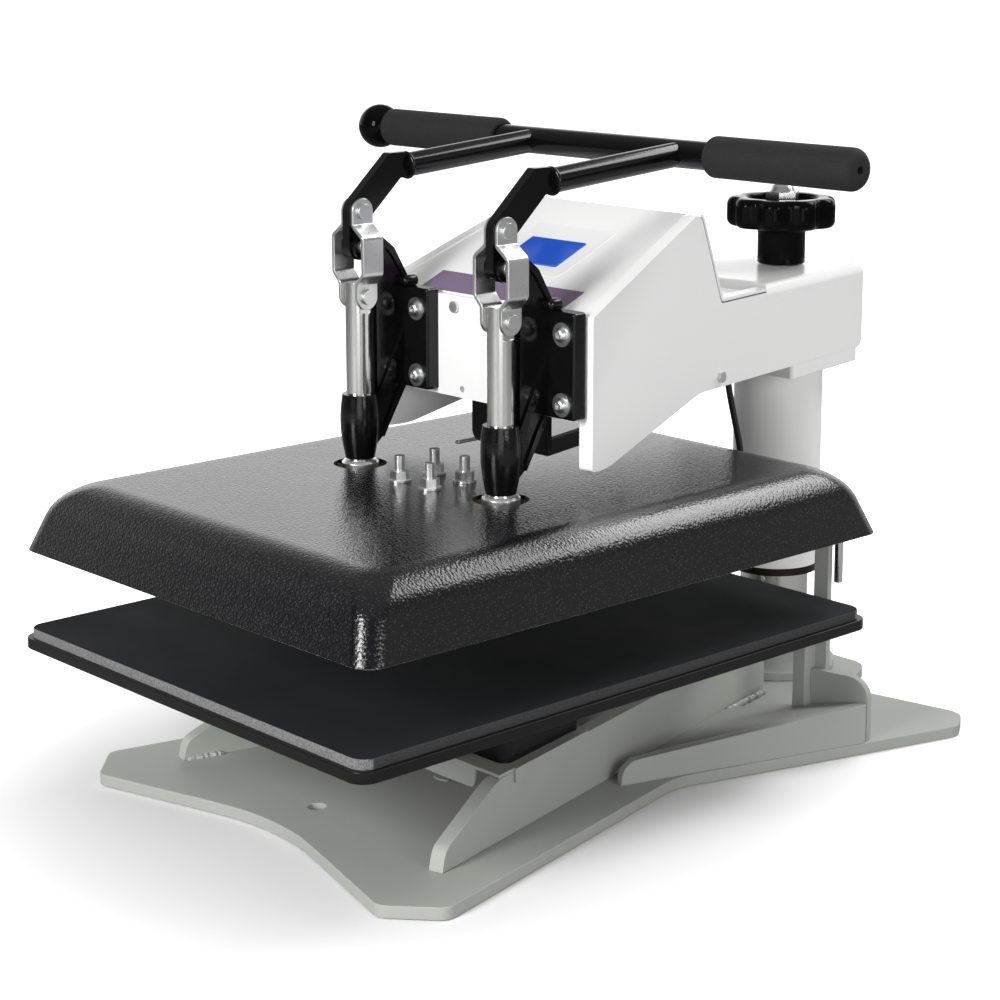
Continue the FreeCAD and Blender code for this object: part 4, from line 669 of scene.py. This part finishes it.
TABLE_TOP = 122.1
PAD_TOP = 129.65
PAD_SIZE = (0.4064, 0.508, 1)
TOGGLE_SPOTS = ((-82.0, -22.0), (82.0, -22.0))
STUD_SPOTS = tuple((3.5 + i * 17.5, -21.0 + j * 17.5) for i in (-1, 1) for j in (-1, 1))
SLOPE_START, SLOPE_END = (30.0, 376.0), (175.0, 440.0)
SLOPE = (SLOPE_END[1] - SLOPE_START[1]) / (SLOPE_END[0] - SLOPE_START[0])
CONSOLE_SUNK = -0.8
LEAD_ROUTE = ((268, 360.1), (268.6, 322), (270.8, 288), (280, 256), (288.5, 229), (290, 213),
              (284.5, 203), (273, 200.5))


def mm(*values):
    """Millimetres to a point in metres."""
    return tuple(value * MM for value in values)


def finish_piece(piece, finish, body, replaced=()):
    """Gives a piece its finish, and says what it rides on and replaces."""
    wear(piece, finish)
    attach(piece, body)
    if replaced:
        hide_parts(*replaced)
    return piece


def rounding(centre, radius, start, end, steps):
    """Points (distance, radius) of an arc, from one angle to another in degrees."""
    return [(centre[0] + radius * math.cos(math.radians(start + (end - start) * k / steps)),
             centre[1] + radius * math.sin(math.radians(start + (end - start) * k / steps)))
            for k in range(steps + 1)]


def make_platen_cover(sizes):
    """The moulded cover: flared walls, a broad rounding and a flat top with its holes."""
    middle_y, half = 0.007, (0.209, 0.261)
    bottom, top = 0.1905, 0.242
    flare, turn = sizes.flare, sizes.round_edge
    turn_z = top - turn + turn * math.sin(flare)
    lean = (turn_z - bottom) * math.tan(flare)
    centre = lean + turn * math.cos(flare)
    levels = [(0.0, bottom), (lean * 0.5, (bottom + turn_z) / 2)]
    steps = 14
    for step in range(steps + 1):
        angle = flare + (math.pi / 2 - flare) * step / steps
        levels.append((centre - turn * math.cos(angle), top - turn + turn * math.sin(angle)))
    piece = sized("platen_cover_shell", "plane", (half[0] * 2, half[1] * 2, 1),
                  (0, middle_y, bottom))
    enter(piece)
    pick_all()
    for (inset, z), (following, upper) in zip(levels, levels[1:]):
        factor = ((half[0] - following) / (half[0] - inset),
                  (half[1] - following) / (half[1] - inset), 1)
        grow((0, 0, upper - z), factor, (0, middle_y, upper))
    pick(piece, lambda edge: abs(edge.verts[0].co.z - edge.verts[1].co.z) > TINY, "EDGE")
    bpy.ops.mesh.bevel(offset=sizes.corner, segments=8, affect="EDGES", profile=0.5)
    pick(piece, lambda face: all(abs(v.co.z - bottom) < TINY for v in face.verts))
    bpy.ops.mesh.delete(type="FACE")
    pick_all()
    bpy.ops.mesh.remove_doubles(threshold=TINY)
    bpy.ops.mesh.normals_make_consistent(inside=False)
    pick(piece, lambda face: face.normal.z > 0.9999)
    bpy.ops.mesh.inset(thickness=0.004)
    apply_modifier(piece, "SOLIDIFY", thickness=sizes.wall, offset=-1.0, use_even_offset=True)
    holes = [(spot, sizes.hole / 2, 64) for spot in TOGGLE_SPOTS]
    holes += [(spot, 0.004, 32) for spot in STUD_SPOTS]
    cut(piece, [fresh("cutter", "cylinder", vertices=sides, radius=radius, depth=0.04,
                      location=(*mm(*spot), top)) for spot, radius, sides in holes])
    soften(piece, 0.0011, 2, 50, 30, 30)
    apply_modifier(piece, "WEIGHTED_NORMAL", keep_sharp=True)
    finish_piece(piece, "cover", "platen", ["platen_cover"])
    # Painted highlight: the bottom edge faces and the lowest 1.2 mm of the wall take the light
    # grey, as a bright line along the rim.
    piece.data.materials.append(FINISHES["rim"])
    highlight_band_top, underside, slope = bottom + 0.0012, -0.97, 0.6
    for face in piece.data.polygons:
        if face.center.z < highlight_band_top and underside < face.normal.z < slope:
            face.material_index = 1
    tilt = math.radians(12.3)
    gland = drawn_round("lead_gland", mm(40, 273, 200.5), (0, math.cos(tilt), math.sin(tilt)),
                        [(-0.0115, 0.0055), (0.0005, 0.0055), (0.0015, 0.0045)], 24)
    finish_piece(gland, "matte", "platen")


def make_press_pad(sizes):
    """The silicone pad: a dark skin on an open sponge that shows along its front and back cut
    edges; its left and right sides take a darker sponge as painted shade.
    """
    piece = sized("press_pad", "plane", PAD_SIZE, (0, 0, TABLE_TOP * MM))
    enter(piece)
    pick_all()
    bpy.ops.mesh.bevel(offset=sizes.corner, segments=8, affect="VERTICES")
    pick_all()
    pull((0, 0, (PAD_TOP - TABLE_TOP) * MM))
    pick(piece, lambda edge: all(abs(v.co.z - PAD_TOP * MM) < TINY for v in edge.verts), "EDGE")
    bpy.ops.mesh.bevel(offset=sizes.edge, segments=4, affect="EDGES")
    pick(piece, lambda face: face.normal.z > 0.999)
    bpy.ops.mesh.inset(thickness=0.003)
    closed(piece, 40)
    wear(piece, "pad")
    piece.data.materials.append(FINISHES["sponge"])
    piece.data.materials.append(FINISHES["pad_side_painted_shade"])
    # Painted shade: faces turned left or right take the darker sponge, faces turned to the front
    # or back take the plain cut-sponge edge.
    for face in piece.data.polygons:
        edge_or_shaded_side = 1 if abs(face.normal.y) > 0.25 else 2
        face.material_index = 0 if abs(face.normal.z) > 0.80 else edge_or_shaded_side
    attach(piece, "base")
    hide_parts("table_pad")


def make_grips(sizes):
    """Foam grips over the ends of the crossbar."""
    bar, wide, vent_deep, vent_lip = 0.0105, 0.016, 0.010, 0.0006
    outer, inner = sizes.outer_round, sizes.inner_round
    long = 0.142
    inner_arc = rounding((inner, wide - inner), inner, 180, 90, 5)
    body = [(long * part, wide * (1 + swell)) for part, swell in
            ((0.2, -0.004), (0.4, 0.0), (0.6, -0.003), (0.8, 0.0))]
    outer_arc = rounding((long - outer, wide - outer), outer, 90, 0, 8)
    vent = [(long, sizes.hole / 2 + vent_lip), (long - vent_lip, sizes.hole / 2),
            (long - vent_deep, sizes.hole / 2)]
    right = drawn_round("grip_foam_right", mm(117, 165, 484.5), (1, 0, 0),
                        [(0, bar)] + inner_arc + body + outer_arc + vent, 64)
    finish_piece(right, "foam", "handle", ["grip_right"])
    ball_arc = rounding((long - 0.003, wide - 0.003), 0.003, 90, 0, 4)
    left = drawn_round("grip_foam_left", mm(-120, 165, 484.5), (-1, 0, 0),
                       [(0, bar)] + inner_arc + body + ball_arc + [(long, bar)], 64)
    finish_piece(left, "foam", "handle", ["grip_left"])


def make_knob(sizes):
    """The knob on the spindle: a hub and a rounded disc with lobes and a recess."""
    post, sides = 0.3824, 20 * sizes.lobes
    hub, disc, recess, rim = 0.0205, 0.0475, sizes.recess / 2, sizes.rim
    base, low, top, floor = 0.371, 0.403, 0.4285, 0.4215
    neck, chamfer = 0.006, 0.001
    profile = [(base, hub - chamfer), (base + chamfer, hub), (low - neck, hub)]
    profile += rounding((low - neck, hub + neck), neck, -90, 0, 5)
    profile += rounding((low + rim, disc - rim), rim, 180, 90, 6)
    profile += [(low + rim + part * (top - low - 2 * rim), disc) for part in (0.33, 0.67)]
    profile += rounding((top - rim, disc - rim), rim, 90, 0, 8)
    profile += rounding((top - 0.003, recess + 0.003), 0.003, 0, -90, 4)
    profile += rounding((floor + 0.002, recess - 0.002), -0.002, -90, 0, 3)
    profile += [(floor, 0.016), (floor, 0.010)]
    piece = drawn_round("lobed_knob_body", (0, post, 0), (0, 0, 1), profile, sides)
    start = recess + 0.002
    for corner in piece.data.vertices:
        across, along = corner.co.x, corner.co.y - post
        out = math.hypot(across, along)
        if corner.co.z > low - TINY and out > start:
            dip = (0.5 + 0.5 * math.cos(sizes.lobes * math.atan2(along, across))) ** 1.5
            share = (out - start) / (disc - start)
            factor = (out - sizes.scallop * dip * share) / out
            corner.co.x, corner.co.y = across * factor, post + along * factor
    closed(piece, 40)
    finish_piece(piece, "plastic", "knob", ["lobed_knob"])


def make_blanket():
    """The insulation blanket: a quilted sheet under the cover."""
    piece = sized("insulation_quilt", "cube", (0.310, 0.410, 0.032), (0, 0.007, 0.223))
    cut(piece, [fresh("cutter", "cylinder", vertices=48, radius=0.024, depth=0.06,
                      location=mm(x, y, 223)) for x, y in TOGGLE_SPOTS])
    soften(piece, 0.006, 4, 40, 40, 50)
    finish_piece(piece, "blanket", "platen", ["insulation_blanket"])


def make_heater_lead():
    """The heater's lead: a smooth curve from the arm's deck to the gland on the cover."""
    object_mode()
    curve = bpy.data.curves.new("heater_lead_run", "CURVE")
    curve.dimensions = "3D"
    spline = curve.splines.new("NURBS")
    spline.points.add(len(LEAD_ROUTE) - 1)
    for point, (y, z) in zip(spline.points, LEAD_ROUTE):
        point.co = (*mm(40, y, z), 1.0)
    spline.order_u = 3
    spline.use_endpoint_u = True
    curve.resolution_u = 12
    curve.bevel_depth = 0.00275
    curve.bevel_resolution = 6
    curve.use_fill_caps = True
    piece = bpy.data.objects.new("heater_lead_run", curve)
    bpy.context.scene.collection.objects.link(piece)
    bpy.context.view_layer.objects.active = piece
    piece.select_set(True)
    bpy.ops.object.convert(target="MESH")
    piece = bpy.context.object
    closed(piece, 60)
    wear(piece, "rubber")
    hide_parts("heater_lead")
    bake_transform(piece)


def sheet_on_slope(name, corners, round_by, thick, lift=0.0, window=None):
    """A thin sheet on the console's slope, its corners given as (x, y) in mm."""
    (x0, y0), (x1, y1) = corners
    piece = sized(name, "plane", ((x1 - x0) * MM, (y1 - y0) * MM, 1),
                  mm((x0 + x1) / 2, (y0 + y1) / 2, 0))
    enter(piece)
    pick_all()
    if round_by:
        bpy.ops.mesh.bevel(offset=round_by * MM, segments=5, affect="VERTICES")
    pick_all()
    pull((0, 0, thick * MM))
    closed(piece, 30)
    if window:
        (wx0, wy0), (wx1, wy1) = window
        cut(piece, [sized("cutter", "cube", mm(wx1 - wx0, wy1 - wy0, 10),
                          mm((wx0 + wx1) / 2, (wy0 + wy1) / 2, 0))])
    for corner in piece.data.vertices:
        run = corner.co.y / MM - SLOPE_START[0]
        corner.co.z += (SLOPE_START[1] + CONSOLE_SUNK + lift + SLOPE * run) * MM
    closed(piece, 30)
    return piece


def make_console_face():
    """The plain band across the console and the thin sheet round the display."""
    band = sheet_on_slope("console_band", ((-74, 35), (86, 59)), 0.8, 0.25, -0.02)
    finish_piece(band, "band", "head")
    sheet = sheet_on_slope("keypad_sheet", ((-44, 71), (44, 136)), 4.0, 0.3, -0.02,
                           ((-30, 82.6), (30, 115.9)))
    finish_piece(sheet, "membrane", "head")


LIP_ROUTE = ((149.2, 434.3), (150.1, 433.3), (151.7, 430.9), (179.9, 367.0), (180.7, 365.8),
             (182.3, 364.5), (184.4, 364.0), (251.4, 364.0))
ARM_CORNER = (123.0, 30.0)
ARM_TAPER = math.atan(0.19003)
ARM_THICK = 12.0


def edge_strip(name, side, width, rise, thick):
    """A strip that follows the rear edge of one of the arm's side plates."""
    (start, height), step = LIP_ROUTE[0], 1.0
    piece = sized(name, "plane", (width * MM, step * MM, 1),
                  mm(-ARM_THICK / 2, start - step / 2, height))
    enter(piece, "EDGE")
    pick(piece, lambda edge: middle(edge).y > (start - step / 4) * MM, "EDGE")
    for before, after in zip(LIP_ROUTE, LIP_ROUTE[1:]):
        pull(mm(0, after[0] - before[0], after[1] - before[1]))
    pick_all()
    bpy.ops.mesh.normals_make_consistent(inside=False)
    pick(piece, lambda face: face.normal.z < -0.5)
    if any(face.select for face in bmesh.from_edit_mesh(piece.data).faces):
        pick_all()
        bpy.ops.mesh.flip_normals()
    pick_all()
    bpy.ops.transform.shrink_fatten(value=rise * MM)
    apply_modifier(piece, "SOLIDIFY", thickness=thick * MM, offset=1.0)
    piece.rotation_euler = (0, 0, ARM_TAPER)
    piece.location = mm(*ARM_CORNER, 0)
    closed(piece, 40)
    if side < 0:
        enter(piece)
        pick_all()
        bpy.ops.transform.mirror(constraint_axis=(True, False, False),
                                 center_override=(0, 0, 0))
        closed(piece, 40)
    return piece


def make_console_lips():
    """The console's folded lips over the arm's side plates, with a matte black strip under them as
    painted shade in the gap.
    """
    for word, side in (("left", -1), ("right", 1)):
        # Painted shade: a thin matte black strip under the lip darkens the gap between lip and
        # side plate.
        gap_shade_strip = edge_strip("console_joint_" + word, side, ARM_THICK - 1.6, 0.05, 1.1)
        finish_piece(gap_shade_strip, "matte", "head")
        lip = edge_strip("console_lip_" + word, side, ARM_THICK - 0.2, 1.15, 2.4)
        finish_piece(lip, "arm", "head")


LUG_SPOTS = (-72.0, 92.0)


def make_flange_lugs():
    """The rounded lugs that stand on the flanges of the toggle brackets, beside their webs."""
    first = sized("flange_lug_left", "cube", mm(11, 15, 9), mm(LUG_SPOTS[0], 21.0, 384.0))
    soften(first, 0.0040, 5, 40, 40, 50)
    second = placed_copy(first, "flange_lug_right", mm(LUG_SPOTS[1] - LUG_SPOTS[0], 0, 0))
    for lug in (first, second):
        finish_piece(lug, "casting", "head")


def weld_bead(name, start, end, width, body):
    """A welded seam: a row of overlapping drops along a line, melted into one piece."""
    object_mode()
    start, end = Vector(mm(*start)), Vector(mm(*end))
    count = max(3, round((end - start).length / (width * 0.45 * MM)))
    drops = []
    for step in range(count + 1):
        swell = 1 + 0.20 * math.sin(step * 2.4) + 0.10 * math.sin(step * 5.1)
        place = start.lerp(end, step / count) + Vector((0.0004 * math.sin(step * 3.7), 0, 0))
        drops.append(fresh("drop", "uv_sphere", segments=14, ring_count=8,
                           radius=width / 2 * MM * swell, location=place))
    piece = join(name, drops)
    apply_modifier(piece, "REMESH", mode="VOXEL", voxel_size=0.0005)
    closed(piece, 80)
    finish_piece(piece, "weld", body)


def make_welds():
    """The welded seams at the feet of the ribs and of the stop post."""
    weld_bead("weld_rib_left_front", (-146.5, -146, 10), (-140.5, -120, 10), 5.0, "base")
    weld_bead("weld_rib_right_deck", (66, 251, 11.5), (54, 308, 11.5), 5.5, "base")
    weld_bead("weld_stop_post_wall", (137, 285.5, 60.5), (144, 286.5, 60.5), 5.0, "base")
    weld_bead("weld_stop_post_foot", (133.5, 277, 11), (143, 279, 11), 5.0, "base")


def make_small_parts():
    """The locating tab on the base, the clip under the arm and the threads of the studs."""
    clip = sized("tongue_clip", "cube", mm(4.2, 23, 2.4), mm(-15.2, 31.8, 263))
    soften(clip, 0.0006, 2, 50, 35, 35)
    finish_piece(clip, "zinc", "head")
    turns, pitch = 11, 0.00085
    crest, root = 0.00425, 0.0036
    rings = [(0.0, root)]
    for turn in range(turns):
        rings += [((turn + 0.5) * pitch, crest), ((turn + 1) * pitch, root)]
    at_x, at_y = STUD_SPOTS[0]
    threads = [drawn_round("stud_thread_1", mm(at_x, at_y, 252.2), (0, 0, 1), rings, 20)]
    for spot, (x, y) in enumerate(STUD_SPOTS[1:]):
        threads.append(placed_copy(threads[0], "stud_thread_%d" % (spot + 2),
                                   mm(x - at_x, y - at_y, 0)))
    for thread in threads:
        finish_piece(thread, "zinc", "platen")
    tab_x, stretch = 0.020, 2.1
    tab = fresh("base_tab", "cylinder", vertices=32, radius=0.004, depth=0.0016,
                location=(tab_x, *mm(-28, 10.3)))
    for corner in tab.data.vertices:
        corner.co.x = tab_x + (corner.co.x - tab_x) * stretch
    soften(tab, 0.0005, 2, 50, 35, 35)
    finish_piece(tab, "base", "base")


def build_surround(world, strength):
    """White to the camera; in reflections, bright above and to both sides of the back."""
    world.use_nodes = True
    work = Wiring(world.node_tree)
    back = world.node_tree.nodes["Background"]
    where = work.put("TexCoord").outputs["Generated"]
    axes = work.put("SeparateXYZ", None, Vector=where)
    height = axes.outputs["Z"]

    def towards(direction, low, high):
        dot = work.put("VectorMath", {"operation": "DOT_PRODUCT"})
        work.feed(dot.inputs[0], where)
        work.feed(dot.inputs[1], direction)
        return work.smooth(dot.outputs["Value"], low, high)

    low_sky = work.smooth(height, 0.70, 0.25)
    lit = work.sums("MULTIPLY", towards((-0.82, 0.57, 0.0), 0.10, 0.85), low_sky)
    side = work.sums("MULTIPLY", towards((0.73, 0.68, 0.0), 0.35, 0.85), low_sky)
    over = work.smooth(height, 0.45, 0.95)
    total = work.sums("MULTIPLY_ADD", lit, 1.45, 0.05)
    total = work.sums("MULTIPLY_ADD", side, 0.4, total)
    total = work.sums("MULTIPLY_ADD", over, 0.42, total)
    seen = work.put("LightPath").outputs["Is Camera Ray"]
    work.fill(back, Color=(1, 1, 1, 1),
              Strength=work.sums("MAXIMUM", work.sums("MULTIPLY", total, strength), seen))


# The photograph's camera, solved from its straight edges.
CAMERA_LENS = 83.05
CAMERA_SHIFT = (-0.01736, -0.1)
CAMERA_PLACE = (1.30004, -1.13564, 0.64901)
CAMERA_TURN = (math.pi / 2 - 0.1987, 0.0, 0.82284)


def set_stage(settings):
    """A plain pale floor, soft light and the camera at the photograph's angle."""
    scene = bpy.context.scene
    floor = fresh("studio_floor", "plane", size=40.0, location=(0, 0, -0.0005))
    material, work, shader, placed = new_material("studio_floor")
    seen = work.put("LightPath").outputs["Is Camera Ray"]
    tone = work.blend_of(seen, (0.40, 0.40, 0.40), (0.90, 0.90, 0.90))
    spread = work.put("VectorMath", {"operation": "LENGTH"})
    work.feed(spread.inputs[0], work.put("TexCoord").outputs["Object"])
    far = work.smooth(spread.outputs["Value"], 0.25, 0.70)
    work.fill(shader, Base_Color=tone, Roughness=0.9, Specular_IOR_Level=0.0,
              Emission_Color=(1, 1, 1, 1), Emission_Strength=work.sums("MULTIPLY", far, seen))
    floor.data.materials.append(material)

    world = bpy.data.worlds.new("Studio")
    scene.world = world
    build_surround(world, settings.sky)

    def softbox(name, place, aim, size, power):
        """A rectangular light aimed at a point."""
        data = bpy.data.lights.new(name, "AREA")
        data.shape = "RECTANGLE"
        data.size, data.size_y = size
        data.energy = power
        light = bpy.data.objects.new(name, data)
        light.location = place
        light.rotation_euler = (Vector(aim) - Vector(place)).to_track_quat("-Z", "Y").to_euler()
        light.visible_camera = False
        scene.collection.objects.link(light)

    softbox("front_key", (0.30, -2.45, 1.20), (0, 0, 0.2), (0.7, 1.1), settings.key_power)
    softbox("low_fill", (1.75, -1.55, 0.35), (0, 0, 0.25), (1.2, 1.2), settings.low_power)
    softbox("right_fill", (2.4, -0.3, 0.80), (0, 0.15, 0.25), (0.9, 0.9), settings.right_power)
    softbox("back_top", (0.35, 1.95, 2.10), (0, 0.1, 0.2), (1.8, 0.8), settings.back_power)

    lens = bpy.data.cameras.new("photo_camera")
    lens.lens = CAMERA_LENS
    lens.sensor_width = 36.0
    lens.shift_x, lens.shift_y = CAMERA_SHIFT
    lens.clip_start, lens.clip_end = 0.05, 100.0
    camera = bpy.data.objects.new("photo_camera", lens)
    camera.location = CAMERA_PLACE
    camera.rotation_euler = CAMERA_TURN
    scene.collection.objects.link(camera)
    scene.camera = camera
    scene.view_settings.view_transform = "Standard"


# Operators

class Step:
    """What the steps share: they can be undone, and they read the scene's settings."""
    bl_options = {"REGISTER", "UNDO"}

    def execute(self, context):
        self.make(context.scene)
        return {"FINISHED"}


class PRESS_OT_finishes(Step, bpy.types.Operator):
    """Makes the finishes and dresses the CAD pieces that keep their mesh"""
    bl_idname = "press.finishes"
    bl_label = "Finishes"

    def make(self, scene):
        build_groups()
        build_finishes(scene.press_tones)
        dress_nodes()


class PRESS_OT_platen_cover(Step, bpy.types.Operator):
    """Moulds the cover over the heat platen"""
    bl_idname = "press.platen_cover"
    bl_label = "Platen Cover"

    def make(self, scene):
        make_platen_cover(scene.press_cover)


class PRESS_OT_press_pad(Step, bpy.types.Operator):
    """Makes the silicone pad on the table"""
    bl_idname = "press.press_pad"
    bl_label = "Press Pad"

    def make(self, scene):
        make_press_pad(scene.press_pad)


class PRESS_OT_grips(Step, bpy.types.Operator):
    """Makes the foam grips on the crossbar"""
    bl_idname = "press.grips"
    bl_label = "Foam Grips"

    def make(self, scene):
        make_grips(scene.press_grips)


class PRESS_OT_knob(Step, bpy.types.Operator):
    """Makes the lobed knob on the lift spindle"""
    bl_idname = "press.knob"
    bl_label = "Lobed Knob"

    def make(self, scene):
        make_knob(scene.press_knob)


class PRESS_OT_blanket(Step, bpy.types.Operator):
    """Makes the insulation blanket under the cover"""
    bl_idname = "press.blanket"
    bl_label = "Insulation Blanket"

    def make(self, scene):
        make_blanket()


class PRESS_OT_heater_lead(Step, bpy.types.Operator):
    """Lays the heater's lead between the arm and the cover"""
    bl_idname = "press.heater_lead"
    bl_label = "Heater Lead"

    def make(self, scene):
        make_heater_lead()


class PRESS_OT_console_face(Step, bpy.types.Operator):
    """Lays the band and the keypad sheet on the console"""
    bl_idname = "press.console_face"
    bl_label = "Console Face"

    def make(self, scene):
        make_console_face()
        make_console_lips()


class PRESS_OT_small_parts(Step, bpy.types.Operator):
    """Adds the lugs, the welded seams, the tab, the clip and the stud threads"""
    bl_idname = "press.small_parts"
    bl_label = "Small Parts"

    def make(self, scene):
        make_flange_lugs()
        make_welds()
        make_small_parts()


class PRESS_OT_stage(Step, bpy.types.Operator):
    """Sets the floor, the light and the camera"""
    bl_idname = "press.stage"
    bl_label = "Stage"

    def make(self, scene):
        set_stage(scene.press_stage)


class PRESS_PT_panel(bpy.types.Panel):
    """Lists the press's settings and the steps that make it"""
    bl_idname = "PRESS_PT_panel"
    bl_label = "Heat Press"
    bl_space_type = "VIEW_3D"
    bl_region_type = "UI"
    bl_category = "Heat Press"

    def draw(self, context):
        for name in SETTINGS:
            group = getattr(context.scene, name)
            box = self.layout.box()
            for key in group.__annotations__:
                box.prop(group, key)
        for step in STEPS:
            self.layout.operator(step.bl_idname)


SETTINGS = {"press_tones": FinishColours, "press_cover": CoverSizes, "press_pad": PadSizes,
            "press_grips": GripSizes, "press_knob": KnobSizes, "press_stage": StageSettings}
STEPS = (PRESS_OT_finishes, PRESS_OT_platen_cover, PRESS_OT_press_pad, PRESS_OT_grips,
         PRESS_OT_knob, PRESS_OT_blanket, PRESS_OT_heater_lead, PRESS_OT_console_face,
         PRESS_OT_small_parts, PRESS_OT_stage)
CLASSES = (*SETTINGS.values(), *STEPS, PRESS_PT_panel)


def register():
    """Registers the classes and hangs the settings on the scene."""
    for made in CLASSES:
        bpy.utils.register_class(made)
    for name, group in SETTINGS.items():
        setattr(bpy.types.Scene, name, bpy.props.PointerProperty(type=group))


def unregister():
    """Takes the settings and the classes away again."""
    for name in SETTINGS:
        delattr(bpy.types.Scene, name)
    for made in reversed(CLASSES):
        bpy.utils.unregister_class(made)


def main():
    """Registers the add-on's classes and makes every piece in order."""
    register()
    for step in STEPS:
        area, name = step.bl_idname.split(".")
        getattr(getattr(bpy.ops, area), name)()
    object_mode()


if __name__ == "__main__":
    main()
